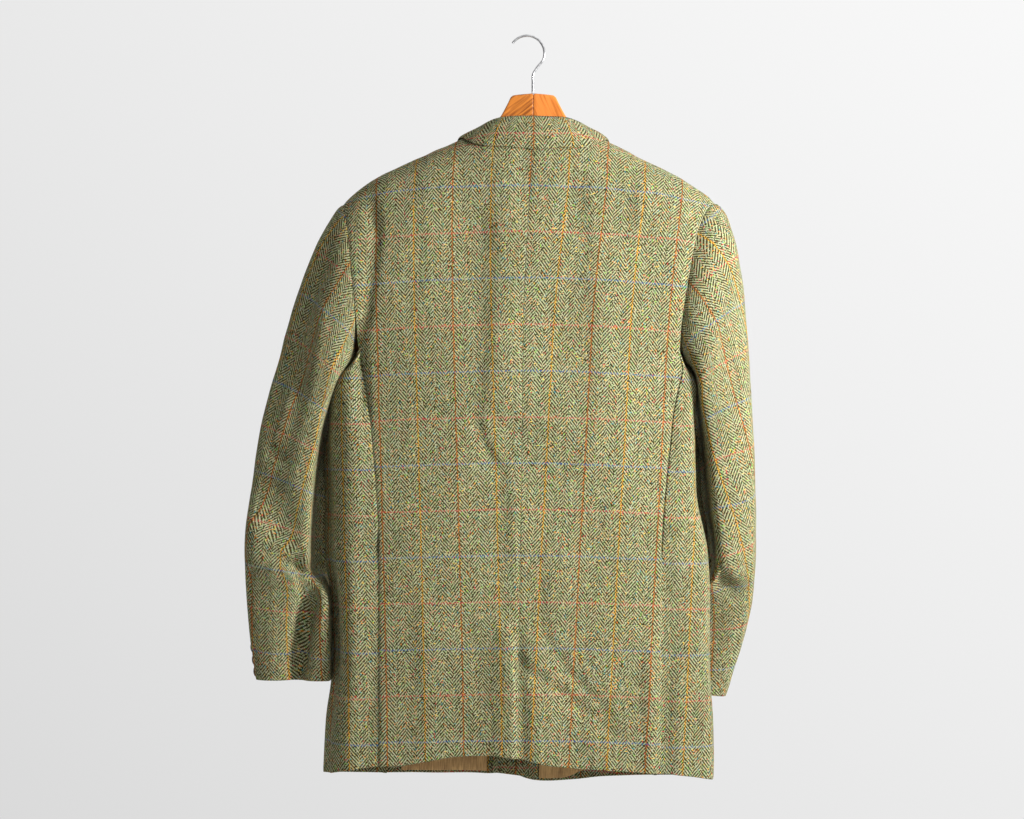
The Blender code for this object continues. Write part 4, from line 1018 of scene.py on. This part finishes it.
def wall(name, points, uv, sign, thickness, lined, materials):
    """Cloth as an outer and an inner skin with a rounded rim, lined where lined is true."""
    columns, rows = points.shape[:2]
    out = surface_normals(points) * sign
    push = np.zeros_like(points)
    push[0] += unit(points[0] - points[1])
    push[-1] += unit(points[-1] - points[-2])
    push[:, 0] += unit(points[:, 0] - points[:, 1])
    push[:, -1] += unit(points[:, -1] - points[:, -2])
    body_points = points - unit(push) * RIM_INSET * (np.linalg.norm(push, axis=-1, keepdims=True) > 0)
    half = thickness / 2
    loop = border(columns, rows)
    rim = np.array([points[i, j] for i, j in loop])
    verts = np.concatenate(((body_points + out * half).reshape(-1, 3),
                            (body_points - out * half).reshape(-1, 3), rim))
    flat_uv = uv.reshape(-1, 2)
    vert_uv = np.concatenate((flat_uv, flat_uv, [uv[i, j] for i, j in loop]))
    index = np.arange(columns * rows).reshape(columns, rows)
    quads = np.stack((index[:-1, :-1], index[1:, :-1], index[1:, 1:], index[:-1, 1:]), axis=-1).reshape(-1, 4)
    inner = quads[:, ::-1] + columns * rows
    corner = np.array([index[i, j] for i, j in loop])
    middle = 2 * columns * rows + np.arange(len(loop))
    after = np.roll(corner, -1)
    middle_after = np.roll(middle, -1)
    upper = np.stack((after, corner, middle, middle_after), axis=-1)
    lower = np.stack((middle_after, middle, corner + columns * rows, after + columns * rows), axis=-1)
    faces = np.concatenate((quads, inner, upper, lower))
    if sign < 0:
        faces = faces[:, ::-1]
    slot_index = np.zeros(len(faces), int)
    if lined is not None:
        slot_index[len(quads):2 * len(quads)] = lined[:-1, :-1].reshape(-1)
    return make_mesh(name, verts, faces, vert_uv, slot_index, materials)


def make_mesh(name, verts, faces, vert_uv=None, slot_index=None, materials=()):
    mesh = bpy.data.meshes.new(name)
    faces = faces.tolist() if isinstance(faces, np.ndarray) else faces
    mesh.from_pydata((np.asarray(verts) * MM).tolist(), [], faces)
    if vert_uv is not None:
        layer = mesh.uv_layers.new(name=UV_NAME)
        corners = np.empty(len(mesh.loops), int)
        mesh.loops.foreach_get("vertex_index", corners)
        layer.data.foreach_set("uv", (np.asarray(vert_uv)[corners] * MM).ravel())
    for made in materials:
        mesh.materials.append(made)
    if slot_index is not None:
        mesh.polygons.foreach_set("material_index", slot_index)
    mesh.shade_smooth()
    obj = bpy.data.objects.new(name, mesh)
    bpy.context.scene.collection.objects.link(obj)
    return obj


def declare(obj, nodes):
    """Hang the object on the part's one body and hide the part's nodes that it takes the place of."""
    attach(obj, "root")
    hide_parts(*nodes)
    return obj


def cloth(name, grid, facing, seams, at=(0.5, 0.5), thickness=CLOTH, inside="lining",
          amount=1.0, spacing=STEP, turning=(0, 0, 0, 0),
          outside="tweed", lips=(0, 0, 0, 0)):
    """One piece of cloth from its coarse grid with cloth coordinates.

    seams are the depths to which the first and last column and the first and last row roll
    in, turning the widths along them that are tweed on the inside too, lips the widths of
    their seam allowances. Pieces with no inside of their own lie on the inner side of
    another one and take its relief.
    """
    fine, across, down = refine(grid, spacing)
    points, uv = fine[..., :3], fine[..., 3:]
    normal = surface_normals(points)
    i, j = (int(share * (count - 1)) for share, count in zip(at, points.shape))
    sign = 1.0 if normal[i, j] @ np.array(facing) > 0 else -1.0
    lies = 1.0 if inside else -1.0
    height = lies * relief(points, normal * sign * lies, amount) - edge_roll(across, down, seams)
    points = points + normal * sign * height[..., None]
    points, uv, (across, down) = add_lips(points, uv, normal * sign, (across, down), lips)
    lined = None
    if inside:
        inward = ((across >= turning[0]) & (across[-1] - across >= turning[1]))[:, None]
        inward = inward & ((down >= turning[2]) & (down[-1] - down >= turning[3]))[None, :]
        lined = inward.astype(int)
    materials = [MATERIALS[outside]] + ([MATERIALS[inside]] if inside else [])
    obj = wall(name + "_cloth", points, uv, sign, thickness, lined, materials)
    declare(obj, [name])
    return obj


# Materials

class Nodes:
    """Builds one material's nodes; each call gives back an output socket."""

    def __init__(self, name):
        self.material = bpy.data.materials.new(name)
        self.material.use_nodes = True
        self.tree = self.material.node_tree
        self.shader = self.tree.nodes["Principled BSDF"]

    def plug(self, socket, value):
        if isinstance(value, bpy.types.NodeSocket):
            self.tree.links.new(value, socket)
        elif isinstance(value, tuple) and socket.type == "RGBA":
            socket.default_value = (*value[:3], 1.0)
        else:
            socket.default_value = value

    def add(self, kind, inputs, output=0, **settings):
        node = self.tree.nodes.new("ShaderNode" + kind)
        for key, value in settings.items():
            setattr(node, key, value)
        for key, value in inputs.items():
            self.plug(node.inputs[key], value)
        return node.outputs[output]

    def math(self, operation, *values):
        node = self.tree.nodes.new("ShaderNodeMath")
        node.operation = operation
        for socket, value in zip(node.inputs, values):
            self.plug(socket, value)
        return node.outputs[0]

    def vector(self, operation, *values):
        node = self.tree.nodes.new("ShaderNodeVectorMath")
        node.operation = operation
        for socket, value in zip(node.inputs, values):
            self.plug(socket, value)
        return node.outputs[0]

    def mix(self, factor, a, b, blend="MIX"):
        node = self.tree.nodes.new("ShaderNodeMix")
        node.data_type = "RGBA"
        node.blend_type = blend
        for socket, value in zip((node.inputs[0], node.inputs[6], node.inputs[7]), (factor, a, b)):
            self.plug(socket, value)
        return node.outputs[2]

    def combine(self, x, y, z=0.0):
        return self.add("CombineXYZ", {0: x, 1: y, 2: z})

    def separate(self, vector):
        node = self.tree.nodes.new("ShaderNodeSeparateXYZ")
        self.plug(node.inputs[0], vector)
        return node.outputs[0], node.outputs[1], node.outputs[2]

    def noise(self, vector, scale, detail=2.0, output=0):
        return self.add("TexNoise", {"Vector": vector, "Scale": scale, "Detail": detail}, output)

    def ramp(self, factor, stops, interpolation="LINEAR"):
        """Colour ramp; stops are (place, colour) pairs."""
        node = self.tree.nodes.new("ShaderNodeValToRGB")
        node.color_ramp.interpolation = interpolation
        elements = node.color_ramp.elements
        elements.remove(elements[-1])
        for k, (place, colour) in enumerate(stops):
            element = elements[0] if k == 0 else elements.new(place)
            element.position = place
            element.color = (*colour, 1.0)
        self.plug(node.inputs[0], factor)
        return node.outputs[0]

    def bump(self, height, distance, strength=1.0):
        return self.add("Bump", {"Height": height, "Distance": distance, "Strength": strength})

    def finish(self, **values):
        for key, value in values.items():
            self.plug(self.shader.inputs[key.replace("_", " ")], value)
        return self.material


LIGHT_YARN = ((0.30, (0.19, 0.29, 0.12)), (0.40, (0.29, 0.35, 0.18)), (0.47, (0.39, 0.38, 0.26)),
              (0.54, (0.29, 0.32, 0.14)), (0.61, (0.38, 0.28, 0.18)), (0.70, (0.41, 0.33, 0.11)))
DARK_YARN = ((0.30, (0.024, 0.018, 0.008)), (0.42, (0.034, 0.042, 0.012)), (0.50, (0.036, 0.027, 0.009)),
             (0.58, (0.068, 0.034, 0.010)), (0.68, (0.026, 0.044, 0.028)), (0.80, (0.08, 0.07, 0.02)))
FLECKS = ((0.0, (0.50, 0.17, 0.03)), (0.3, (0.42, 0.06, 0.06)), (0.5, (0.05, 0.20, 0.22)),
          (0.7, (0.20, 0.42, 0.06)), (0.85, (0.60, 0.38, 0.05)))
NAP_SHARE = 0.07       # of the floats, hidden by hairs of the other yarn
STRIPE_COLOURS = ((0.42, 0.12, 0.015), (0.58, 0.29, 0.02))
LINE_COLOURS = ((0.03, 0.07, 0.19), (0.30, 0.03, 0.035))


def tweed_material():
    """2/2 twill turned every 12 ends, with an overcheck of single coloured threads."""
    n = Nodes("tweed")
    uv = n.add("UVMap", {}, uv_map=UV_NAME)
    wander = n.noise(uv, 30.0, 2.0, output=1)
    u, v, _ = n.separate(n.vector("MULTIPLY_ADD", wander, (0.0012, 0.0016, 0.0), uv))
    end_width, pick_width = STRIPE * MM / STRIPE_ENDS, LINE * MM / LINE_PICKS
    a = n.math("DIVIDE", n.math("SUBTRACT", u, 0.0006), end_width)
    b = n.math("DIVIDE", n.math("SUBTRACT", v, FIRST_LINE * MM + 0.0008), pick_width)
    end, pick = n.math("FLOOR", a), n.math("FLOOR", b)
    column = n.math("FLOOR", n.math("DIVIDE", end, COLUMN_ENDS))
    odd = n.math("FLOORED_MODULO", column, 2.0)
    place = n.math("SUBTRACT", end, n.math("MULTIPLY", column, COLUMN_ENDS))
    mirrored = n.math("MULTIPLY_ADD", place, -2.0, COLUMN_ENDS + 1.0)
    turned = n.math("MULTIPLY_ADD", odd, mirrored, place)
    phase = n.math("FLOORED_MODULO", n.math("ADD", turned, pick), 4.0)
    warp_up = n.math("LESS_THAN", phase, 1.5)

    end_part, pick_part = n.math("FRACT", a), n.math("FRACT", b)
    def rounding(part):
        bowed = n.math("MULTIPLY_ADD", part, 2.0, -1.0)
        return n.math("MULTIPLY_ADD", n.math("MULTIPLY", bowed, bowed), -1.0, 1.0)
    def float_bow(along):
        return n.math("MULTIPLY_ADD", n.math("SINE", n.math("MULTIPLY", along, math.pi / 2)), 0.65, 0.35)
    across_part = n.math("MULTIPLY_ADD", odd, n.math("MULTIPLY_ADD", end_part, -2.0, 1.0), end_part)
    warp_height = n.math("MULTIPLY", rounding(end_part), float_bow(n.math("ADD", phase, pick_part)))
    weft_along = n.math("ADD", n.math("SUBTRACT", phase, 2.0), across_part)
    weft_height = n.math("MULTIPLY", rounding(pick_part), float_bow(weft_along))
    height = n.add("Mix", {0: warp_up, 2: weft_height, 3: warp_height}, data_type="FLOAT")

    warp_mark = n.combine(n.math("MULTIPLY", end, 7.31), n.math("MULTIPLY", b, 0.16))
    weft_mark = n.combine(n.math("MULTIPLY", a, 0.16), n.math("MULTIPLY", pick, 5.17), 9.0)
    warp = n.ramp(n.noise(warp_mark, 1.0, 1.0), LIGHT_YARN)
    weft = n.ramp(n.noise(weft_mark, 1.0, 1.0), DARK_YARN)

    def fleck(yarn, thread, along, share, seed):
        spot = n.combine(thread, n.math("FLOOR", n.math("MULTIPLY", along, 0.35)), seed)
        chance = n.tree.nodes.new("ShaderNodeTexWhiteNoise")
        n.plug(chance.inputs["Vector"], spot)
        tint = n.ramp(n.separate(chance.outputs[1])[1], FLECKS, "CONSTANT")
        return n.mix(n.math("GREATER_THAN", chance.outputs[0], 1 - share), yarn, tint)
    warp = fleck(warp, end, b, 0.042, 1.0)
    weft = fleck(weft, pick, a, 0.05, 2.0)

    def overcheck(yarn, thread, shift, spacing, colours):
        moved = n.math("ADD", thread, shift)
        which = n.math("FLOORED_MODULO", n.math("FLOOR", n.math("DIVIDE", moved, spacing)), 2.0)
        near = n.math("LESS_THAN", n.math("FLOORED_MODULO", moved, spacing), 1.5)
        return n.mix(n.math("MULTIPLY", near, 0.85), yarn, n.mix(which, *colours))
    warp = overcheck(warp, end, 1.0, STRIPE_ENDS, STRIPE_COLOURS)
    weft = overcheck(weft, pick, 0.0, LINE_PICKS, LINE_COLOURS)

    hairs = n.tree.nodes.new("ShaderNodeTexWhiteNoise")
    n.plug(hairs.inputs["Vector"], n.combine(end, pick, 4.0))
    hidden = n.math("LESS_THAN", hairs.outputs[0], NAP_SHARE)
    colour = n.mix(n.math("ABSOLUTE", n.math("SUBTRACT", warp_up, hidden)), weft, warp)
    # Painted shade and highlight: the yarn colour is darkened in the hollows between threads and at the float ends,
    # and lightened above its own colour on the crests, by the thread height
    shade = n.math("MULTIPLY_ADD", height, 1.2, 0.32)
    cloudy = n.math("MULTIPLY_ADD", n.noise(uv, 9.0, 3.0), 0.24, 0.88)
    thick = n.noise(n.combine(n.math("MULTIPLY", end, 3.7), n.math("MULTIPLY", v, 9.0)), 1.0, 1.0)
    cloudy = n.math("MULTIPLY", cloudy, n.math("MULTIPLY_ADD", thick, 0.7, 0.65))
    colour = n.vector("SCALE", colour)
    n.plug(colour.node.inputs["Scale"], n.math("MULTIPLY", shade, cloudy))
    fuzz = n.noise(uv, 1400.0, 3.0)
    normal = n.bump(n.math("MULTIPLY_ADD", fuzz, 0.6, height), 0.0004, 0.7)
    return n.finish(Base_Color=colour, Normal=normal, Roughness=0.95, Specular_IOR_Level=0.08,
                    Sheen_Weight=0.05, Sheen_Roughness=0.4, Sheen_Tint=(0.95, 0.9, 0.75))


def lining_material():
    """Bronze lining: fine diagonal weave with soft wrinkles, its colour painted lighter on their crests and darker in
    their hollows as painted shade.
    """
    n = Nodes("lining")
    uv = n.add("UVMap", {}, uv_map=UV_NAME)
    u, v, _ = n.separate(uv)
    lines = n.math("SINE", n.math("MULTIPLY", n.math("ADD", u, v), 2 * math.pi / 0.0009))
    streak = n.noise(n.combine(n.math("MULTIPLY", u, 700.0), n.math("MULTIPLY", v, 60.0)), 1.0, 3.0)
    wrinkle = n.noise(n.combine(n.math("MULTIPLY", u, 60.0), n.math("MULTIPLY", v, 22.0)), 1.0, 3.0)
    # The colour follows the wrinkles' height as well as the streaks: painted shade in their hollows, painted light on
    # their crests
    colour = n.ramp(n.math("MULTIPLY_ADD", streak, 0.6, n.math("MULTIPLY", wrinkle, 0.4)),
                    ((0.35, (0.24, 0.125, 0.042)), (0.65, (0.62, 0.38, 0.145))))
    height = n.math("MULTIPLY_ADD", lines, 0.04, wrinkle)
    return n.finish(Base_Color=colour, Normal=n.bump(height, 0.0016, 0.6), Roughness=0.48,
                    Specular_IOR_Level=0.3, Sheen_Weight=0.04, Sheen_Roughness=0.3)


def wood_material(side):
    """Varnished wood with its grain along the arm; the left half is darker and steeper."""
    n = Nodes("wood_left" if side == LEFT else "wood_right")
    place = n.add("TexCoord", {}, output=3)
    turn = math.radians(38.0 if side == LEFT else 66.0) * -side
    grain = n.vector("MULTIPLY", n.add("Mapping", {0: place, 2: (0.0, turn, 0.0)}), (9.0, 140.0, 140.0))
    bands = n.noise(grain, 1.6, 4.0)
    pores = n.noise(n.vector("MULTIPLY", grain, (2.0, 3.0, 3.0)), 1.0, 3.0)
    dark, light = (((0.22, 0.058, 0.006), (0.50, 0.160, 0.020)) if side == LEFT
                   else ((0.45, 0.125, 0.016), (0.65, 0.200, 0.034)))
    colour = n.ramp(n.math("MULTIPLY_ADD", pores, 0.5, n.math("MULTIPLY", bands, 0.55)),
                    ((0.42, dark), (0.57, light)))
    rough = n.math("MULTIPLY_ADD", pores, 0.15, 0.26)
    return n.finish(Base_Color=colour, Roughness=rough, Normal=n.bump(pores, 0.0003, 0.35),
                    Coat_Weight=0.2, Coat_Roughness=0.15, Specular_IOR_Level=0.25)


def chrome_material():
    n = Nodes("chrome")
    place = n.add("TexCoord", {}, output=3)
    wear = n.noise(place, 260.0, 4.0)
    colour = n.ramp(wear, ((0.4, (0.55, 0.55, 0.56)), (0.6, (0.78, 0.78, 0.79))))
    rough = n.math("MULTIPLY_ADD", wear, 0.22, 0.08)
    return n.finish(Base_Color=colour, Metallic=1.0, Roughness=rough, Normal=n.bump(wear, 0.0001, 0.3))


def horn_material():
    n = Nodes("button")
    place = n.add("TexCoord", {}, output=3)
    swirl = n.noise(n.vector("MULTIPLY", place, (120.0, 120.0, 260.0)), 1.0, 4.0)
    colour = n.ramp(swirl, ((0.35, (0.022, 0.010, 0.005)), (0.55, (0.075, 0.034, 0.014)),
                            (0.72, (0.19, 0.10, 0.045))))
    return n.finish(Base_Color=colour, Roughness=n.math("MULTIPLY_ADD", swirl, 0.2, 0.18),
                    Normal=n.bump(swirl, 0.0002, 0.25), Coat_Weight=0.3, Coat_Roughness=0.1)


def thread_material():
    n = Nodes("thread")
    place = n.add("TexCoord", {}, output=3)
    twist = n.noise(place, 2600.0, 2.0)
    colour = n.ramp(twist, ((0.35, (0.035, 0.022, 0.010)), (0.65, (0.11, 0.07, 0.032))))
    return n.finish(Base_Color=colour, Roughness=0.7, Normal=n.bump(twist, 0.0002, 0.6))


def floor_material():
    n = Nodes("floor")
    place = n.add("TexCoord", {}, output=3)
    grain = n.noise(place, 40.0, 4.0)
    colour = n.ramp(grain, ((0.3, (0.74, 0.74, 0.73)), (0.7, (0.80, 0.80, 0.79))))
    return n.finish(Base_Color=colour, Roughness=0.8, Normal=n.bump(grain, 0.001, 0.2))


# Pieces

def hanger_half(side):
    """One arm: the part's sections, read finely, with a softened joint face."""
    tongue = [-0.25, 0.19] if side == LEFT else []     # it fills the mitre a little below its face
    outs = np.concatenate((tongue, [0.2, 0.8, 2.0], np.arange(5.0, 206.0, 3.0),
                           np.linspace(207.0, HANGER["out"][-1], 5)))
    rings = []
    for out in outs:
        top, bottom, thick, power = (smooth(HANGER["out"], HANGER[name], out) for name in HANGER_COLUMNS[1:])
        ease = 0.92 if out < 0.2 else 1 - 0.045 * (1 - ramp(out, 0.0, 2.0))
        angle = np.linspace(0, 2 * math.pi, 64, endpoint=False)
        c, s = np.cos(angle), np.sin(angle)
        y = thick * ease * np.copysign(np.abs(s) ** power, s)
        z = (top + bottom) / 2 + (top - bottom) / 2 * ease * np.copysign(np.abs(c) ** power, c)
        rings.append(np.stack((np.full_like(y, NECK_X + side * out), y, z), axis=-1))
    rings = np.array(rings)
    count, around = rings.shape[:2]
    index = np.arange(count * around).reshape(count, around)
    over = np.roll(index, -1, axis=1)
    faces = np.stack((index[:-1], index[1:], over[1:], over[:-1]), axis=-1).reshape(-1, 4)
    if side == LEFT:
        faces = faces[:, ::-1]
    verts = rings.reshape(-1, 3)
    caps = [index[0].tolist(), index[-1][::-1].tolist()]
    if side == LEFT:
        caps = [cap[::-1] for cap in caps]
    word = "left" if side == LEFT else "right"
    obj = make_mesh("hanger_arm_" + word, verts, [*faces.tolist(), *caps], materials=[MATERIALS["wood_" + word]])
    return declare(obj, ["hanger_" + word])


def wire_hook():
    """The hook's wire, rounder than the part's and with a rounded tip."""
    centre = np.array((0.0, WIRE_RADIUS - HOOK_RADIUS))
    points = [(NECK_X - 0.5, -72.6), (NECK_X - 0.5, -60.0), (NECK_X, -48.0), (NECK_X + 6.0, -38.0)]
    for degrees in range(-22, 153, 12):
        angle = math.radians(degrees)
        points.append(centre + HOOK_RADIUS * np.array((math.cos(angle), math.sin(angle))))
    points = np.array(points)
    steps = np.linalg.norm(np.diff(points, axis=0), axis=1)
    old = np.concatenate(([0.0], np.cumsum(steps)))
    fine = resample(points[:, None, :], old, np.arange(0.0, old[-1], 1.5))[:, 0]
    fine = np.concatenate((fine, points[-1:]))
    along = unit(np.gradient(fine, axis=0))
    across = np.stack((-along[:, 1], along[:, 0]), axis=-1)
    tip = np.array([math.sqrt(max(0.0, 1 - (1 - t) ** 2)) for t in (0.3, 0.7, 1.0)])
    radius = np.full(len(fine), WIRE_RADIUS)
    radius[-3:] = WIRE_RADIUS * tip[::-1]
    sides = 20
    angle = np.linspace(0, 2 * math.pi, sides, endpoint=False)
    rings = []
    for place, side_way, size in zip(fine, across, radius):
        flat = place + np.cos(angle)[:, None] * size * side_way
        rings.append(np.stack((flat[:, 0], np.sin(angle) * size, flat[:, 1]), axis=-1))
    index = np.arange(len(rings) * sides).reshape(len(rings), sides)
    over = np.roll(index, -1, axis=1)
    faces = np.stack((index[:-1], over[:-1], over[1:], index[1:]), axis=-1).reshape(-1, 4).tolist()
    faces += [index[0].tolist(), index[-1][::-1].tolist()]
    obj = make_mesh("wire_hook", np.array(rings).reshape(-1, 3), faces, materials=[MATERIALS["chrome"]])
    return declare(obj, ["hook"])


BUTTON_PROFILE = ((0.0, -0.5), (0.86, -0.5), (0.97, -0.34), (1.0, 0.0), (0.97, 0.3), (0.88, 0.46),
                  (0.78, 0.44), (0.68, 0.26), (0.5, 0.2), (0.3, 0.2), (0.0, 0.22))


def disc_frame(normal):
    """Two directions across a disc that faces along normal; the first is level."""
    normal = np.asarray(normal, float) / np.linalg.norm(normal)
    level = unit(np.cross((0.0, 0.0, 1.0), normal))
    return level, np.cross(normal, level), normal


def horn_button(name, centre, normal, radius, thickness):
    """A dished four-hole button, sewn on with crossed thread."""
    level, rise, out = disc_frame(normal)
    around = 48
    angle = np.linspace(0, 2 * math.pi, around, endpoint=False)
    spokes = np.cos(angle)[:, None] * level + np.sin(angle)[:, None] * rise
    verts, faces = [], []
    for part, height in BUTTON_PROFILE:
        verts += [centre + spoke * part * radius + out * height * thickness for spoke in spokes]
    for ring in range(len(BUTTON_PROFILE) - 1):
        for k in range(around):
            here, there = ring * around + k, ring * around + (k + 1) % around
            faces.append((here, there, there + around, here + around))
    disc = make_mesh(name, verts, faces, materials=[MATERIALS["button"], MATERIALS["thread"]])
    bm = bmesh.new()
    bm.from_mesh(disc.data)
    bmesh.ops.remove_doubles(bm, verts=bm.verts, dist=1e-6)
    bmesh.ops.recalc_face_normals(bm, faces=bm.faces)
    hole = radius * 0.2
    for start, end in (((-1, -1), (1, 1)), ((-1, 1), (1, -1))):
        ends = [centre + (level * s[0] + rise * s[1]) * hole + out * thickness * 0.16 for s in (start, end)]
        thread_bar(bm, ends, out, radius * 0.075)
    bm.to_mesh(disc.data)
    bm.free()
    disc.data.shade_smooth()
    return disc


def thread_bar(bm, ends, out, size):
    """A bowed bar of thread between two holes."""
    start, end = ends
    along = unit(end - start)
    across = np.cross(along, out)
    rings = []
    for t in np.linspace(0, 1, 9):
        middle = start + (end - start) * t + out * size * 2.2 * math.sin(math.pi * t) ** 0.6
        ring = []
        for k in range(8):
            angle = 2 * math.pi * k / 8
            ring.append(bm.verts.new((middle + (across * math.cos(angle) + out * math.sin(angle)) * size) * MM))
        rings.append(ring)
    for here, there in zip(rings[:-1], rings[1:]):
        for k in range(8):
            face = bm.faces.new((here[k], here[(k + 1) % 8], there[(k + 1) % 8], there[k]))
            face.material_index = 1
    for ring in (rings[0][::-1], rings[-1]):
        bm.faces.new(ring).material_index = 1


def add_cloth():
    """Every piece of cloth, from the part's own grids."""
    for side, word in ((LEFT, "left"), (RIGHT, "right")):
        cloth("back_" + word, body_cut(back_grid(side, 21), side), (0, -1, 0),
              (0.6, 1.2, 1.0, 0.5), turning=(0, 0, 0, TURNING),
              lips=(6.0 if side == LEFT else 0, 0, 0, 0))
        cloth("side_" + word, flank_cut(side_grid(side, 16), side), (side, 0, 0),
              (1.2, 1.0, 1.0, 0.5), turning=(VENT_UNDER, 0, 0, TURNING),
              lips=(6.0, 6.0, 0, 0))
        front = body_cut(front_grid(side, 23), side, shift=12.0, take=False)
        cloth("front_" + word, front, (0, 1, 0), (0.3, 1.2, 1.0, 0.5),
              turning=(70.0, 0, 0, TURNING), lips=(0, 0, 6.0, 0))
        lapel = body_cut(lapel_grid(side, 16, 34), side, take=False)
        cloth("lapel_" + word, lapel, (0, 1, 0), (0.0, 0.4, 0.4, 0.4), inside="tweed",
              amount=0.5, spacing=3.0)
        turns = sleeve_turns(side)
        for piece, columns, facing, lip in (("under", 19, (-side, -0.5, 0), 0),
                                            ("top", 31, (side, 0.6, 0), 5.0)):
            cloth(piece + "_sleeve_" + word, sleeve_piece(side, piece, columns, turns), facing,
                  (0.5, 0.5, 1.2, 0.4), amount=1.3, turning=(0, 0, 0, TURNING),
                  lips=(lip, lip, 8.0, 0))
        flap = body_cut(rounded_flap(patch_grid(side, FLAP, 24, 14, CLOTH + 0.4)), side, take=False)
        cloth("flap_" + word, flap, (0, 1, 0), (0.4, 0.4, 0.6, 0.4), inside="lining",
              amount=0.6, spacing=3.0)
    welt = body_cut(patch_grid(LEFT, WELT, 20, 6, CLOTH + 0.4), LEFT, take=False)
    cloth("breast_welt", welt, (0, 1, 0), (0.5, 0.5, 0.3, 0.5), inside="tweed",
          amount=0.5, spacing=3.0)
    cloth("collar", collar_cut(), (0, -1, 0), (0.4, 0.4, 0.0, 0.3), at=(0.5, 0.75),
          inside="tweed", amount=0.5, spacing=3.0)
    facing = body_cut(front_lining(RIGHT, -30.0, 29.0, 8, CLOTH + 1.6), RIGHT, take=False)
    cloth("facing_right", facing, (0, -1, 0), (0.0, 0.8, 0.0, 0.3), inside=None)
    for side, word, start, end in ((RIGHT, "right", 30.0, 150.0), (LEFT, "left", -150.0, -38.0)):
        lining = body_cut(front_lining(side, start, end, 12, CLOTH + 1.4), side, take=False)
        cloth("lining_" + word, lining, (0, -1, 0), (0.3, 0.3, 0.0, 0.6),
              thickness=LINING, inside=None, outside="lining")


def rounded_flap(grid):
    """A flap with its two lower corners rounded."""
    radius = 15.0
    for i, column in enumerate(grid):
        from_start = np.linalg.norm(grid[i, -1] - grid[0, -1])
        from_end = np.linalg.norm(grid[i, -1] - grid[-1, -1])
        corner = max(0.0, 1 - min(from_start, from_end) / radius)
        lift = radius * (1 - math.sqrt(1 - corner ** 2))
        top, bottom = column[0].copy(), column[-1].copy()
        share = 1 - lift / np.linalg.norm(bottom - top)
        grid[i] = top + (column - top) * share
    return grid


def collar_cut():
    """The collar with cloth coordinates: across from the centre back, down from the fold."""
    grid = collar_grid(65, 4, 9)
    leaf = grid[:, -1]
    across = np.concatenate(([0.0], np.cumsum(np.linalg.norm(np.diff(leaf, axis=0), axis=1))))
    across -= across[len(across) // 2]
    steps = np.linalg.norm(np.diff(grid, axis=1), axis=2)
    down = np.concatenate((np.zeros((len(grid), 1)), np.cumsum(steps, axis=1)), axis=1)
    up = FIRST_LINE + 2 * LINE - 4.0 - down
    return with_cut(grid, np.repeat(across[:, None] * STRIPE / 50.5, grid.shape[1], axis=1), up)


def add_buttons():
    """Front and cuff buttons, at the places of the part's own."""
    for i, z in enumerate(BUTTON_Z):
        x = body("centre", z)
        y = panel_y(LEFT, FRONT, x, z) + lap(LEFT, x, z) + CLOTH / 2 + 2.0
        name = f"front_button_{i + 1}"
        declare(horn_button(name + "_horn", np.array((x, y, z)), (0, 1, 0), 10.0, 3.2), [name])
    for side, word in ((LEFT, "left"), (RIGHT, "right")):
        for i, ring in enumerate(CUFF_BUTTON_RINGS):
            here = np.array(sleeve_point(side, ring, CUFF_BUTTON_ANGLE))
            along = np.array(sleeve_point(side, ring + 0.1, CUFF_BUTTON_ANGLE)) - here
            across = np.array(sleeve_point(side, ring, CUFF_BUTTON_ANGLE + 5)) - here
            normal = np.cross(along, across) * side
            normal *= side * np.sign(normal[0]) / np.linalg.norm(normal)
            centre = here + normal * (CLOTH / 2 + 2.0)
            name = f"cuff_button_{word}_{i + 1}"
            declare(horn_button(name + "_horn", centre, normal, 7.0, 2.6), [name])


def add_stage():
    """Pale floor, soft studio light and the camera."""
    bpy.ops.mesh.primitive_circle_add(vertices=96, radius=FLOOR_RADIUS, fill_type="NGON",
                                      location=(0.0, 0.0, FLOOR_Z))
    floor = bpy.context.object
    floor.name = "floor"
    floor.data.materials.append(floor_material())

    world = bpy.data.worlds.new("studio")
    world.use_nodes = True
    tree = world.node_tree
    place = tree.nodes.new("ShaderNodeTexCoord")
    split = tree.nodes.new("ShaderNodeSeparateXYZ")
    tree.links.new(place.outputs["Generated"], split.inputs[0])
    def add(factor, first, second):
        node = tree.nodes.new("ShaderNodeMath")
        node.operation = "MULTIPLY_ADD"
        for socket, value in zip(node.inputs, (factor, first, second)):
            if isinstance(value, float):
                socket.default_value = value
            else:
                tree.links.new(value, socket)
        return node.outputs[0]
    right, ahead, up = split.outputs
    level = add(up, WORLD_UP, add(right, add(ahead, WORLD_TURN, WORLD_TO_RIGHT), add(ahead, WORLD_AHEAD, WORLD_LEVEL)))
    tree.links.new(level, tree.nodes["Background"].inputs["Strength"])
    tree.nodes["Background"].inputs["Color"].default_value = (1.0, 1.0, 1.0, 1.0)
    bpy.context.scene.world = world

    lamp = bpy.data.lights.new("key", "AREA")
    lamp.shape, lamp.size, lamp.energy = "DISK", KEY_SIZE, KEY_POWER
    lamp.spread = math.radians(KEY_SPREAD)
    key = bpy.data.objects.new("key", lamp)
    key.location = KEY_PLACE
    key.visible_camera = False
    key.rotation_euler = (Vector(KEY_AIM) - Vector(KEY_PLACE)).to_track_quat("-Z", "Y").to_euler()
    bpy.context.scene.collection.objects.link(key)

    data = bpy.data.cameras.new("camera")
    data.lens, data.sensor_width = LENS, SENSOR
    camera = bpy.data.objects.new("camera", data)
    camera.location = CAMERA
    camera.rotation_euler = (math.radians(90.0), 0.0, 0.0)
    bpy.context.scene.collection.objects.link(camera)
    bpy.context.scene.camera = camera
    bpy.context.scene.view_settings.view_transform = "Standard"


MATERIALS = {"tweed": tweed_material(), "lining": lining_material(), "button": horn_material(),
             "thread": thread_material(), "chrome": chrome_material(),
             "wood_left": wood_material(LEFT), "wood_right": wood_material(RIGHT)}
add_cloth()
add_buttons()
for hanger_side in (LEFT, RIGHT):
    hanger_half(hanger_side)
wire_hook()
add_stage()
